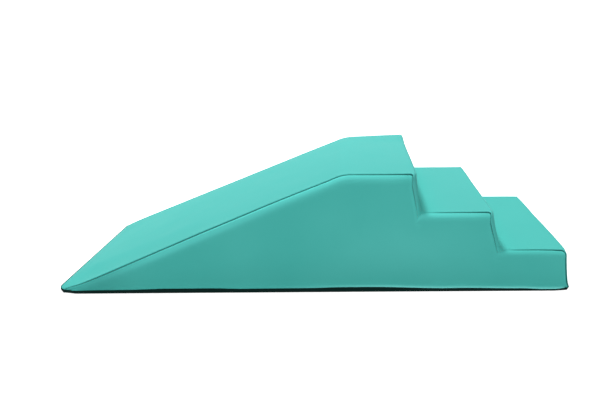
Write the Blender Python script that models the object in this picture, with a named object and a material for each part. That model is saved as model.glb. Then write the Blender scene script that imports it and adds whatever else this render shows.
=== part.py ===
"""Soft play foam climber: a ramp, a deck and steps down, in foam slabs under a sewn, zipped cover.

X runs along the climber from the toe of the ramp to the end of the lowest step, Y runs across it
and Z is up. The origin is on the ground under the middle of the climber.
"""
import math

import bmesh
import bpy
from mathutils import Vector
from mathutils.geometry import delaunay_2d_cdt, intersect_point_line

# Overall sizes in metres
LENGTH = 2.0
WIDTH = 0.70
LOW_STEP_HEIGHT = 0.167
MIDDLE_STEP_HEIGHT = 0.155
TOP_STEP_HEIGHT = 0.152
DECK_DEPTH = 0.271
UPPER_TREAD_DEPTH = 0.280
LOWER_TREAD_DEPTH = 0.2615

# The foot of each riser stands further out than its nosing
TOP_RISER_LEAN = 0.017
MIDDLE_RISER_LEAN = 0.034
END_RISER_LEAN = 0.016

# The end riser's foot stands out, fading over a height
END_FLARE = 0.0095
END_FLARE_HEIGHT = 0.018

# Radii of the side outline
BEND_RADIUS = 0.160
NOSING_RADIUS = 0.018
VALLEY_RADIUS = 0.040

# Cover
VINYL = 0.001
GAP = 0.0003
TOP_CROWN = 0.003
SIDE_CROWN = 0.004
CROWN_START = 0.030
CROWN_REACH = 0.120
SEAM_INSET = 0.022
SEAM_DIP = 0.0015
EDGE_DROP = 0.026

# At both ends of the ramp, deck, top riser, upper tread, middle riser, lower tread and end riser:
# how far the side panel has turned down where it meets the flat of the side, and how far in from
# the side the seam lies
EDGE_DROP_SHARES = (
    (0.23, 1.0), (1.0, 0.96), (0.6, 0.6), (0.46, 0.46), (0.55, 0.55), (0.38, 0.35), (0.35, 0.35),
)
SEAM_INSET_SHARES = (
    (0.65, 1.0), (1.0, 1.0), (0.4, 0.4), (0.95, 0.95), (0.4, 0.4), (0.9, 0.9), (0.4, 0.4),
)
ARC_SHRINK_SHARE = 0.45
ARC_GROW_SHARE = 0.6
TURN_ANGLES = [math.radians(angle) for angle in (0, 18, 42, 66, 90)]

# Sag of the ramp's near edge: shares of it along the ramp, and over the distance from the middle
RAMP_SAG = 0.015
RAMP_SAG_SHARES = (
    (0.0, 0.0), (0.05, 0.35), (0.12, 0.8), (0.2, 1.0), (0.32, 0.8), (0.53, 0.45), (0.75, 0.2), (1.0, 0.0),
)
SAG_WIDTH_SHARES = ((0.0, 0.0), (0.33, 0.0), (0.66, 0.25), (0.91, 1.0), (1.0, 1.0))

# Base
BASE_FABRIC = 0.0012
HEM_HEIGHT = 0.020
HEM_FLARE = 0.003
HEM_ROLL = 0.004
HEM_REACH = 0.013
HEM_FADE = 0.060
BASE_EDGE_RADIUS = 0.005
BASE_EDGE_SHARES = ((1.0, 0.0), (0.3, 0.3), (0.0, 1.0))

# Height of the base seam as a share of HEM_HEIGHT, at shares of the length from the toe
HEM_SHARES = (
    (0.0, 0.6), (0.06, 0.6), (0.1, 0.62), (0.17, 0.7), (0.35, 0.85), (0.45, 0.95), (0.55, 0.9),
    (0.62, 0.85), (0.72, 0.62), (0.8, 0.58), (0.86, 0.4), (0.92, 0.3), (0.97, 0.3), (1.0, 0.4),
)

# Foam
FOAM_EDGE_WIDTH = 0.060
FOAM_EDGE_DROP = 0.045
FOAM_TOE_SHARE = 0.45
FOAM_SAG_SHARE = 1.35
FOAM_NOSING_EXTRA = 0.004
FOAM_FOOT_CHAMFER = 0.008

# Zip in the far side panel
ZIP_HEIGHT = 0.040
ZIP_TOE_MARGIN = 0.22
ZIP_END_MARGIN = 0.14
SLOT_HALF = 0.0065
TAPE_THICKNESS = 0.0008
TAPE_WIDTH = 0.014
TAPE_TAIL = 0.015
COIL_WIDTH = 0.0026
COIL_THICKNESS = 0.0016
COIL_SPLIT = 0.0014
STOP_LENGTH = 0.006
SLIDER_LENGTH = 0.018
SLIDER_HALF = 0.0052
SLIDER_PLATE = 0.0012
SLIDER_NOSE_SHARE = 0.6
POST_SHARE = 0.45
BAIL_LENGTH = 0.009
BAIL_WIDTH = 0.0022
BAIL_THICKNESS = 0.0011
PULL_LENGTH = 0.032
PULL_WIDTH = 0.0070
PULL_TIP_WIDTH = 0.0090
PULL_THICKNESS = 0.0012

# Points along each stretch of the outline
STRETCH_COUNTS = (8, 3, 2, 3, 2, 3, 4)
BEND_COUNT = 4
NOSING_COUNT = 5
VALLEY_COUNT = 4
HEM_COUNT = 26
GRID_SPACING = 0.080
GRID_MARGIN_SHARE = 0.35
GRID_SHIFT_SHARE = 0.5
ROUND_COUNT = 5
SAG_STEPS = 5

# Across the strip, from the near seam to the far one
ACROSS_SHARES = (-1.0, -0.975, -0.7, -0.35, 0.0, 0.35, 0.7, 0.975, 1.0)

COLOURS = {
    "vinyl": ((0.130, 0.620, 0.570, 1.0), 0.42, 0.0),
    "base": ((0.006, 0.020, 0.018, 1.0), 0.85, 0.0),
    "foam": ((0.780, 0.740, 0.600, 1.0), 0.95, 0.0),
    "tape": ((0.030, 0.200, 0.185, 1.0), 0.90, 0.0),
    "coil": ((0.020, 0.140, 0.130, 1.0), 0.50, 0.0),
    "metal": ((0.030, 0.032, 0.034, 1.0), 0.35, 0.9),
}

# Derived levels and stations
LOWER_TREAD = LOW_STEP_HEIGHT
UPPER_TREAD = LOWER_TREAD + MIDDLE_STEP_HEIGHT
DECK = UPPER_TREAD + TOP_STEP_HEIGHT
TOE_X = -LENGTH / 2
END_X = LENGTH / 2
LOWER_NOSING_X = END_X - END_FLARE - END_RISER_LEAN
MIDDLE_FOOT_X = LOWER_NOSING_X - LOWER_TREAD_DEPTH
UPPER_NOSING_X = MIDDLE_FOOT_X - MIDDLE_RISER_LEAN
TOP_FOOT_X = UPPER_NOSING_X - UPPER_TREAD_DEPTH
DECK_NOSING_X = TOP_FOOT_X - TOP_RISER_LEAN
BEND_X = DECK_NOSING_X - DECK_DEPTH
SIDE_Y = WIDTH / 2 - SIDE_CROWN

# The core lies inside the cover by this much, and rests on the base
FOAM_INSET = VINYL + GAP
FOAM_FLOOR = BASE_FABRIC + GAP
FOAM_SIDE_Y = SIDE_Y - max(VINYL, BASE_FABRIC) - GAP

# Layers of the zip, outward from the foam
TAPE_FRONT = SIDE_Y - VINYL - GAP
TAPE_BACK = TAPE_FRONT - TAPE_THICKNESS
COIL_BACK = TAPE_FRONT + GAP
COIL_FRONT = COIL_BACK + COIL_THICKNESS
PLATE_BACK = COIL_FRONT + GAP
PLATE_FRONT = PLATE_BACK + SLIDER_PLATE
REAR_PLATE_FRONT = TAPE_BACK - GAP
REAR_PLATE_BACK = REAR_PLATE_FRONT - SLIDER_PLATE
REBATE_Y = REAR_PLATE_BACK - GAP
REBATE_HALF = TAPE_WIDTH + COIL_SPLIT
ZIP_X = TOE_X + ZIP_TOE_MARGIN
ZIP_END_X = END_X - ZIP_END_MARGIN
ZIP_LENGTH = ZIP_END_X - ZIP_X
COIL_X = ZIP_X + STOP_LENGTH + GAP
COIL_END_X = ZIP_END_X - STOP_LENGTH - GAP
SLIDER_X = COIL_END_X - SLIDER_LENGTH / 2

# Angles round a foam edge, and where the sag bends across the ramp
ROUND_ANGLES = [math.pi / 2 * index / (ROUND_COUNT - 1) for index in range(ROUND_COUNT)]
SAG_KINKS = [share for share, _ in SAG_WIDTH_SHARES[1:3]]

# The pull's square bar turns under the bail
BAIL_RISE = PULL_THICKNESS * math.sqrt(2) + 2 * GAP
HINGE_Y = PLATE_FRONT + BAIL_RISE / 2


def between(table, place):
    """Value of a table of places and values at any place, even outside the table."""
    for (low, low_value), (high, high_value) in zip(table, table[1:]):
        if place <= high:
            blend = max(place - low, 0.0) / (high - low)
            return low_value + (high_value - low_value) * blend
    return table[-1][1]


def hem_height(x):
    """Height of the seam between the cover and the base at a place along the climber."""
    return HEM_HEIGHT * between(HEM_SHARES, (x - TOE_X) / LENGTH)


CORNERS = [Vector(point) for point in (
    (TOE_X, hem_height(TOE_X)),
    (BEND_X, DECK),
    (DECK_NOSING_X, DECK),
    (TOP_FOOT_X, UPPER_TREAD),
    (UPPER_NOSING_X, UPPER_TREAD),
    (MIDDLE_FOOT_X, LOWER_TREAD),
    (LOWER_NOSING_X, LOWER_TREAD),
    (END_X - END_FLARE, hem_height(END_X)),
)]
CORNER_RADII = (BEND_RADIUS, NOSING_RADIUS, VALLEY_RADIUS, NOSING_RADIUS, VALLEY_RADIUS, NOSING_RADIUS)
CORNER_COUNTS = (BEND_COUNT, NOSING_COUNT, VALLEY_COUNT, NOSING_COUNT, VALLEY_COUNT, NOSING_COUNT)
RAMP = CORNERS[1] - CORNERS[0]
RAMP_ANGLE = math.atan2(RAMP.y, RAMP.x)


def cross_lines(first, second):
    """Point where two endless lines meet."""
    (a, b), (c, d) = first, second
    along, other = b - a, d - c
    return a + along * ((c - a).cross(other) / along.cross(other))


def level_point(line, height):
    """Point of an endless line at a height."""
    start, end = line
    return start + (end - start) * ((height - start.y) / (end.y - start.y))


def moved_corners(depths):
    """The outline's corners with each edge moved in by a depth at each of its ends."""
    lines = []
    for start, end, (start_depth, end_depth) in zip(CORNERS, CORNERS[1:], depths):
        along = (end - start).normalized()
        inward = Vector((along.y, -along.x))
        lines.append((start + inward * start_depth, end + inward * end_depth))
    middle = [cross_lines(one, other) for one, other in zip(lines, lines[1:])]
    first = level_point(lines[0], CORNERS[0].y)
    last = level_point(lines[-1], CORNERS[-1].y)
    return [first] + middle + [last]


def corner_arc(before, corner, after, radius, count):
    """Points of the round that joins two edges at a corner."""
    back = (before - corner).normalized()
    ahead = (after - corner).normalized()
    half = back.angle(ahead) / 2
    centre = corner + (back + ahead).normalized() * (radius / math.sin(half))
    start = corner + back * (radius / math.tan(half)) - centre
    end = corner + ahead * (radius / math.tan(half)) - centre
    turn = start.angle(end)
    points = []
    for index in range(count + 1):
        share = index / count
        near, far = math.sin((1 - share) * turn), math.sin(share * turn)
        points.append(centre + (start * near + end * far) / math.sin(turn))
    return points


def spread(shares, size):
    """A size at each point of the outline, from its shares at both ends of every stretch."""
    values = [size * shares[0][0]]
    for index, (start, end) in enumerate(shares):
        steps = [(step + 1) / STRETCH_COUNTS[index] for step in range(STRETCH_COUNTS[index])]
        values += [size * (start + (end - start) * step) for step in steps]
        if index < len(CORNER_COUNTS):
            after = shares[index + 1][0]
            steps = [(step + 1) / CORNER_COUNTS[index] for step in range(CORNER_COUNTS[index])]
            values += [size * (end + (after - end) * step) for step in steps]
    return values


SEAM_INSETS = spread(SEAM_INSET_SHARES, SEAM_INSET)


def outline(turn_share, depth):
    """Side outline from the toe to the end riser's foot, moved in by the turned edge and a depth.

    turn_share is 0 at the seam and 1 where the turned edge meets the flat of the side.
    """
    depths = [[EDGE_DROP * share * turn_share + depth for share in pair] for pair in EDGE_DROP_SHARES]
    corners = moved_corners(depths)
    points = [corners[0]]
    for index, radius in enumerate(CORNER_RADII):
        before, corner, after = corners[index:index + 3]
        rising = (corner - before).cross(after - corner) > 0
        share = ARC_GROW_SHARE if rising else -ARC_SHRINK_SHARE
        fitted = radius * (1 + share * turn_share)
        arc = corner_arc(before, corner, after, fitted, CORNER_COUNTS[index])
        points += straight(points[-1], arc[0], STRETCH_COUNTS[index]) + arc[1:]
    foot = straight(points[-1], corners[-1], STRETCH_COUNTS[-1])
    for point in foot:
        point.x += END_FLARE * math.exp((CORNERS[-1].y - point.y) / END_FLARE_HEIGHT)
    return points + foot


def sag_at(x, y):
    """How far the ramp's near edge sags at a place along and across the climber."""
    along = between(RAMP_SAG_SHARES, max((x - TOE_X) / (BEND_X - TOE_X), 0.0))
    return RAMP_SAG * along * between(SAG_WIDTH_SHARES, max(-y / (WIDTH / 2), 0.0))


def sagged(x, y, z):
    """A place of the cover after the sag, which fades down to the hem."""
    hem = hem_height(x)
    top = CORNERS[0].y + (DECK - CORNERS[0].y) * (x - TOE_X) / (BEND_X - TOE_X)
    share = min(max((z - hem) / max(top - hem, VINYL), 0.0), 1.0)
    return x, y, z - sag_at(x, y) * share


def straight(start, end, count):
    """Evenly spaced points from after a start up to an end."""
    return [start.lerp(end, (index + 1) / count) for index in range(count)]


def outward_normals(points):
    """Normals of an open outline that has the solid on its right."""
    steps = [(b - a).normalized() for a, b in zip(points, points[1:])]
    steps = [steps[0]] + steps + [steps[-1]]
    sums = [one + other for one, other in zip(steps, steps[1:])]
    return [Vector((-total.y, total.x)).normalized() for total in sums]


def material(name):
    colour, roughness, metallic = COLOURS[name]
    made = bpy.data.materials.get(name)
    if made is None:
        made = bpy.data.materials.new(name)
        made.use_nodes = True
        shader = made.node_tree.nodes["Principled BSDF"]
        shader.inputs["Base Color"].default_value = colour
        shader.inputs["Roughness"].default_value = roughness
        shader.inputs["Metallic"].default_value = metallic
        made.diffuse_color = colour
    return made


def finish(name, bm, finish_name, origin=(0, 0, 0), smooth=True):
    """Turns a bmesh in world places into an object with its origin at a given point."""
    bmesh.ops.recalc_face_normals(bm, faces=bm.faces)
    bmesh.ops.translate(bm, verts=bm.verts, vec=-Vector(origin))
    mesh = bpy.data.meshes.new(name)
    bm.to_mesh(mesh)
    bm.free()
    if smooth:
        mesh.shade_smooth()
        mesh.set_sharp_from_angle(angle=math.radians(35))
    mesh.materials.append(material(finish_name))
    made = bpy.data.objects.new(name, mesh)
    made.location = origin
    bpy.context.scene.collection.objects.link(made)
    return made


def bridge(bm, one, other, closed=False):
    """Quads between two rows of vertices of the same length."""
    count = len(one)
    for index in range(count if closed else count - 1):
        after = (index + 1) % count
        bm.faces.new((one[index], one[after], other[after], other[index]))


def block_outline(bm, points, low, high):
    """A prism of an outline in X and Z between two places across the climber."""
    near = [bm.verts.new((x, low, z)) for x, z in points]
    far = [bm.verts.new((x, high, z)) for x, z in points]
    bridge(bm, near, far, closed=True)
    bm.faces.new(near)
    bm.faces.new(far)
    return near, far


def rectangle(x_low, x_high, z_low, z_high):
    return [(x_low, z_low), (x_high, z_low), (x_high, z_high), (x_low, z_high)]


def crown_of(distance):
    """Swell of a side panel at a distance from its edge."""
    share = min(max((distance - CROWN_START) / CROWN_REACH, 0.0), 1.0)
    return SIDE_CROWN * share * share * (3 - 2 * share)


def hem_flare(x, first_x, last_x):
    """How far the hem stands out, fading at both ends of the side."""
    ends = min(x - first_x, last_x - x)
    return HEM_FLARE * min(max(ends / HEM_FADE, 0.0), 1.0)


def inside(point, loop):
    """Whether a point lies inside a closed loop."""
    crossings = 0
    for a, b in zip(loop, loop[1:] + loop[:1]):
        if (a.y > point.y) != (b.y > point.y):
            crossings += point.x < a.x + (point.y - a.y) / (b.y - a.y) * (b.x - a.x)
    return crossings % 2 == 1


def edge_distance(point, loop):
    """Distance from a point to a closed loop."""
    best = LENGTH
    for a, b in zip(loop, loop[1:] + loop[:1]):
        foot, share = intersect_point_line(point, a, b)
        nearest = a.lerp(b, min(max(share, 0.0), 1.0))
        best = min(best, (point - nearest).length)
    return best


def slot_loop():
    """The zip's opening in the far side panel."""
    low, high = ZIP_HEIGHT - SLOT_HALF, ZIP_HEIGHT + SLOT_HALF
    count = round(ZIP_LENGTH / GRID_SPACING)
    steps = [index / count for index in range(count + 1)]
    lower = [Vector((ZIP_X + ZIP_LENGTH * share, low)) for share in steps]
    upper = [Vector((ZIP_END_X - ZIP_LENGTH * share, high)) for share in steps]
    return lower + upper


def side_layout(slot):
    """Places of a side panel's flat: its loop, the points inside it and its triangles."""
    turned = outline(1.0, 0.0)
    first_x, last_x = turned[0].x, turned[-1].x
    hem = []
    for index in range(1, HEM_COUNT):
        x = last_x + (first_x - last_x) * index / HEM_COUNT
        hem.append(Vector((x, hem_height(x))))
    loop = turned + hem
    inner = []
    for rise in (HEM_ROLL, HEM_REACH):
        rows = [point + Vector((0, rise)) for point in hem]
        inner += [point for point in rows if inside(point, loop) and edge_distance(point, turned) > rise]
    margin = GRID_SPACING * GRID_MARGIN_SHARE
    columns = int(LENGTH / GRID_SPACING)
    levels = int(DECK / GRID_SPACING)
    for column in range(columns + 1):
        for level in range(levels + 1):
            rise = GRID_SPACING * (level + GRID_SHIFT_SHARE)
            point = Vector((TOE_X + GRID_SPACING * column, HEM_HEIGHT + rise))
            far_enough = edge_distance(point, loop) > margin
            clear = not slot or edge_distance(point, slot) > margin
            if inside(point, loop) and far_enough and clear:
                inner.append(point)
    places = loop + slot + inner
    count, slot_count = len(loop), len(slot)
    edges = [(index, (index + 1) % count) for index in range(count)]
    edges += [(count + index, count + (index + 1) % slot_count) for index in range(slot_count)]
    result = delaunay_2d_cdt(places, edges, [], 0, GAP / 100)
    found, faces, origins = result[0], result[2], result[3]
    triangles = []
    for face in faces:
        a, b, c = (found[index] for index in face)
        middle = (a + b + c) / len(face)
        flattened = abs((b - a).cross(c - a)) < GAP * GAP
        if not flattened and inside(middle, loop) and not (slot and inside(middle, slot)):
            triangles.append([origins[index][0] for index in face])
    return places, triangles, len(turned), count


def side_lift(place, index, turned_count, loop_count, loop, slot):
    """How far a place of the side panel's flat stands out of the side's plane."""
    if index < turned_count:
        return 0.0
    flare = hem_flare(place.x, loop[0].x, loop[turned_count - 1].x)
    if index < loop_count:
        return flare * (HEM_FLARE - VINYL) / HEM_FLARE
    above = place.y - hem_height(place.x)
    if above < HEM_ROLL + GAP:
        return flare
    if slot and abs(place.y - ZIP_HEIGHT) < SLOT_HALF + GAP:
        return 0.0
    return crown_of(edge_distance(place, loop))


def side_panel(name, sign, slot):
    """A side panel: its flat, the edge turned over the foam up to the seam, and the hem."""
    places, triangles, turned_count, loop_count = side_layout(slot)
    loop = places[:loop_count]
    lifts = [
        side_lift(place, index, turned_count, loop_count, loop, slot)
        for index, place in enumerate(places)
    ]
    bm = bmesh.new()
    skins = []
    for depth in (0.0, VINYL):
        rings = []
        for angle in TURN_ANGLES[:-1]:
            dip = SEAM_DIP if angle == 0 else 0.0
            points = outline(1 - math.cos(angle), dip + depth * math.cos(angle))
            ring = []
            for point, inset in zip(points, SEAM_INSETS):
                y = SIDE_Y - (inset - GAP / 2) * (1 - math.sin(angle)) - depth * math.sin(angle)
                ring.append(bm.verts.new(sagged(point.x, sign * y, point.y)))
            rings.append(ring)
        flat = []
        for place, lift in zip(places, lifts):
            flat.append(bm.verts.new(sagged(place.x, sign * (SIDE_Y + lift - depth), place.y)))
        rings.append(flat[:turned_count])
        for one, other in zip(rings, rings[1:]):
            bridge(bm, one, other)
        for triangle in triangles:
            bm.faces.new([flat[index] for index in triangle])
        foot = [ring[-1] for ring in rings] + flat[turned_count:loop_count]
        foot += [ring[0] for ring in reversed(rings)]
        rim = list(rings[0]) + foot[1:-1]
        skins.append((rim, flat[loop_count:loop_count + len(slot)]))
    (outer_rim, outer_slot), (inner_rim, inner_slot) = skins
    bridge(bm, outer_rim, inner_rim, closed=True)
    if slot:
        bridge(bm, outer_slot, inner_slot, closed=True)
    return finish(name, bm, "vinyl")


def top_strip():
    """The one strip that runs over the toe, ramp, deck, risers and treads, crowned between the seams."""
    bm = bmesh.new()
    skins = []
    for depth in (0.0, VINYL):
        points = outline(0.0, depth)
        edge_points = outline(0.0, depth + SEAM_DIP)
        normals = outward_normals(points)
        rows = []
        for index, (point, normal) in enumerate(zip(points, normals)):
            half = SIDE_Y - SEAM_INSETS[index] - GAP / 2
            ended = index in (0, len(points) - 1)
            row = []
            for share in ACROSS_SHARES:
                lift = 0.0 if ended else TOP_CROWN * (1 - share * share)
                place = edge_points[index] if abs(share) == 1 else point + normal * lift
                row.append(bm.verts.new(sagged(place.x, half * share, place.y)))
            rows.append(row)
        for one, other in zip(rows, rows[1:]):
            bridge(bm, one, other)
        near_edge = [row[0] for row in rows]
        far_edge = [row[-1] for row in reversed(rows)]
        skins.append(near_edge + rows[-1][1:-1] + far_edge + rows[0][-2:0:-1])
    bridge(bm, skins[0], skins[1], closed=True)
    return finish("cover_top_strip", bm, "vinyl")


def plan_loop():
    """Outline of the cover's foot seen from above, with the seam's height at each place."""
    toe, end = [], []
    for angle in TURN_ANGLES:
        points = outline(1 - math.cos(angle), 0.0)
        toe_y = SIDE_Y - SEAM_INSETS[0] * (1 - math.sin(angle))
        end_y = SIDE_Y - SEAM_INSETS[-1] * (1 - math.sin(angle))
        toe.append(Vector((points[0].x, -toe_y, CORNERS[0].y)))
        end.append(Vector((points[-1].x, -end_y, CORNERS[-1].y)))
    near = list(toe)
    first_x, last_x = toe[-1].x, end[-1].x
    for index in range(1, HEM_COUNT):
        x = first_x + (last_x - first_x) * index / HEM_COUNT
        out = hem_flare(x, first_x, last_x) * (HEM_FLARE - VINYL) / HEM_FLARE
        near.append(Vector((x, -SIDE_Y - out, hem_height(x))))
    near += reversed(end)
    far = [Vector((point.x, -point.y, point.z)) for point in reversed(near)]
    return near + far


def rim_ring(bm, loop, inward, inset, rise):
    """A ring of the base at a rise from the ground, or under the hem when the rise is None."""
    ring = []
    for point, direction in zip(loop, inward):
        place = point + direction * inset
        place.z = point.z - GAP if rise is None else rise
        ring.append(bm.verts.new(place))
    return ring


def base():
    """The anti-slip base: a shallow tray whose rim meets the cover's hem."""
    loop = plan_loop()
    count = len(loop)
    inward = []
    for index, point in enumerate(loop):
        along = (loop[(index + 1) % count] - loop[index - 1]).xy.normalized()
        inward.append(Vector((-along.y, along.x, 0)))
    edge_steps = [(BASE_EDGE_RADIUS * inset, BASE_EDGE_RADIUS * rise) for inset, rise in BASE_EDGE_SHARES]
    bm = bmesh.new()
    rings = []
    for inset, rise in edge_steps + [(0.0, None)]:
        rings.append(rim_ring(bm, loop, inward, inset, rise))
    for inset, rise in [(0.0, None)] + list(reversed(edge_steps)):
        floor = None if rise is None else max(rise, BASE_FABRIC)
        rings.append(rim_ring(bm, loop, inward, inset + BASE_FABRIC, floor))
    for one, other in zip(rings, rings[1:]):
        bridge(bm, one, other, closed=True)
    bm.faces.new(rings[0])
    bm.faces.new(rings[-1])
    return finish("cover_base", bm, "base")


def ellipse_inset(size, reach, distance):
    """Inset of a rounded edge of one size, at a distance into its reach from where it starts."""
    share = min(max(distance / reach, 0.0), 1.0)
    return size * (1 - math.sqrt(1 - share * share))


def ramp_station(height):
    """Place of the foam's ramp face at a height, with the bend to the deck and the blunt toe."""
    corners = moved_corners([(FOAM_INSET, FOAM_INSET)] * len(EDGE_DROP_SHARES))
    line = level_point((corners[0], corners[1]), height).x
    radius = BEND_RADIUS - FOAM_INSET
    top = DECK - FOAM_INSET
    arc_start = top - radius * (1 - math.cos(RAMP_ANGLE))
    if height > arc_start:
        centre_x = corners[1].x + radius * math.tan(RAMP_ANGLE / 2)
        rise = height - (top - radius)
        line = centre_x - math.sqrt(max(radius * radius - rise * rise, 0.0))
    return max(line, TOE_X + BASE_FABRIC + 2 * GAP)


def riser_station(foot, head, height):
    """Place of a riser's foam face at a height."""
    across = (head - foot).normalized()
    inward = Vector((across.y, -across.x)) * -FOAM_INSET
    return level_point((foot + inward, head + inward), height).x


def sag_reach(left, y):
    """How much further along the sagging ramp lies at a place across, where it starts at left."""
    reach = 0.0
    for _ in range(SAG_STEPS):
        reach = FOAM_SAG_SHARE * sag_at(left + reach, y) / math.tan(RAMP_ANGLE)
    return reach


def foam_levels(low, high):
    """Heights at which a slab's plan outline is drawn, closer in its rounded top edge."""
    levels = [low, (low + high - FOAM_EDGE_DROP) / 2]
    return levels + [high - FOAM_EDGE_DROP * (1 - math.sin(angle)) for angle in ROUND_ANGLES]


def foam_side(left, reach, right, half, tread_half, covered_to, sign):
    """Half of a slab's plan outline at one height, from its ramp end to its riser end."""
    side = []
    if sign < 0:
        side += [(left + sag_reach(left, -WIDTH / 2 * share), WIDTH / 2 * share) for share in SAG_KINKS]
    for angle in ROUND_ANGLES:
        y = half - FOAM_EDGE_WIDTH * (1 - math.sin(angle))
        x = left + reach * (1 - math.cos(angle))
        side.append((x + sag_reach(left, sign * y), y))
    if covered_to:
        side.append((covered_to - FOAM_EDGE_DROP, half))
        side.append((covered_to, tread_half))
    for angle in ROUND_ANGLES:
        x = right - FOAM_EDGE_DROP * (1 - math.sin(angle))
        side.append((x, tread_half - FOAM_EDGE_WIDTH * (1 - math.cos(angle))))
    return side


def foam_slab(name, low, high, foot, head, covered_to, rebated):
    """One slab of foam: ramp face at the toe end, riser face at the other, exposed edges rounded.

    covered_to is where the slab above ends, or None for the top slab.
    """
    nosing = NOSING_RADIUS + FOAM_NOSING_EXTRA
    levels = foam_levels(low, high)
    rebate_low, rebate_high = ZIP_HEIGHT - REBATE_HALF, ZIP_HEIGHT + REBATE_HALF
    if rebated:
        levels += [low + FOAM_FOOT_CHAMFER, rebate_low - GAP, rebate_low, rebate_high, rebate_high + GAP]
    bm = bmesh.new()
    rings = []
    for height in sorted(levels):
        chamfer = max(FOAM_FOOT_CHAMFER - (height - low), 0.0) if rebated else 0.0
        inset = ellipse_inset(FOAM_EDGE_WIDTH, FOAM_EDGE_DROP, height - (high - FOAM_EDGE_DROP))
        left = ramp_station(height) + chamfer
        right = riser_station(foot, head, height) - chamfer
        right -= ellipse_inset(nosing, nosing, height - (high - nosing))
        along_ramp = min(max((left - TOE_X) / (BEND_X - TOE_X), 0.0), 1.0)
        drop = FOAM_EDGE_DROP * (FOAM_TOE_SHARE + (1 - FOAM_TOE_SHARE) * along_ramp)
        ring = []
        for sign in (-1, 1):
            half = FOAM_SIDE_Y - chamfer
            if rebated and sign == 1 and rebate_low <= height <= rebate_high:
                half = REBATE_Y
            tread_half = half - inset
            if not covered_to:
                half = tread_half
            reach = drop / math.sin(RAMP_ANGLE)
            side = foam_side(left, reach, right, half, tread_half, covered_to, sign)
            if sign == 1:
                side.reverse()
            ring += [bm.verts.new((x, sign * y, height)) for x, y in side]
        rings.append(ring)
    for one, other in zip(rings, rings[1:]):
        bridge(bm, one, other, closed=True)
    bm.faces.new(rings[0])
    bm.faces.new(rings[-1])
    return finish(name, bm, "foam")


def foam_core():
    """Three glued slabs, each one riser high."""
    lower_top = LOWER_TREAD - FOAM_INSET
    middle_top = UPPER_TREAD - FOAM_INSET
    upper_top = DECK - FOAM_INSET
    middle_foot_x = riser_station(CORNERS[5], CORNERS[4], lower_top)
    top_foot_x = riser_station(CORNERS[3], CORNERS[2], middle_top)
    foam_slab(
        "core_lower_slab", FOAM_FLOOR, lower_top, CORNERS[7], CORNERS[6], middle_foot_x, True)
    foam_slab(
        "core_middle_slab", lower_top + GAP, middle_top, CORNERS[5], CORNERS[4], top_foot_x, False)
    foam_slab(
        "core_upper_slab", middle_top + GAP, upper_top, CORNERS[3], CORNERS[2], None, False)


def zip_track():
    """Two tapes and two rows of coil with a slit between them, and a stop at each end."""
    for word, sign in (("upper", 1), ("lower", -1)):
        edge = ZIP_HEIGHT + sign * COIL_SPLIT / 2
        bm = bmesh.new()
        heights = sorted((edge, edge + sign * TAPE_WIDTH))
        block_outline(
            bm, rectangle(ZIP_X - TAPE_TAIL, ZIP_END_X + TAPE_TAIL, *heights), TAPE_BACK, TAPE_FRONT)
        finish("zip_tape_" + word, bm, "tape", smooth=False)
        bm = bmesh.new()
        heights = sorted((edge, edge + sign * COIL_WIDTH))
        block_outline(bm, rectangle(COIL_X, COIL_END_X, *heights), COIL_BACK, COIL_FRONT)
        finish("zip_coil_" + word, bm, "coil", smooth=False)
    half = COIL_SPLIT / 2 + COIL_WIDTH
    for name, start in (("zip_bottom_stop", ZIP_X), ("zip_top_stop", ZIP_END_X - STOP_LENGTH)):
        bm = bmesh.new()
        shape = rectangle(start, start + STOP_LENGTH, ZIP_HEIGHT - half, ZIP_HEIGHT + half)
        block_outline(bm, shape, COIL_BACK, COIL_FRONT)
        finish(name, bm, "metal", smooth=False)


def slider_plate(x_low, x_high, half):
    """Plate outline of the slider, narrowing towards the end where the rows leave joined."""
    tail = half * SLIDER_NOSE_SHARE
    shoulder = x_low + (x_high - x_low) * SLIDER_NOSE_SHARE
    low, high = ZIP_HEIGHT - half, ZIP_HEIGHT + half
    return [
        (x_low, ZIP_HEIGHT - tail), (x_low + half - tail, low), (shoulder, low),
        (x_high, low), (x_high, high), (shoulder, high), (x_low + half - tail, high),
        (x_low, ZIP_HEIGHT + tail),
    ]


def join_to(main, solids):
    """Unites other solids with one object, and hides them."""
    for other in solids:
        union = main.modifiers.new("join", "BOOLEAN")
        union.operation = "UNION"
        union.object = other
        other.display_type = "WIRE"
        other.hide_render = True


def solid(name, points, low, high, origin):
    """A metal prism of an outline in X and Z, with its origin at a given point."""
    bm = bmesh.new()
    block_outline(bm, points, low, high)
    return finish(name, bm, "metal", origin, smooth=False)


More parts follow.
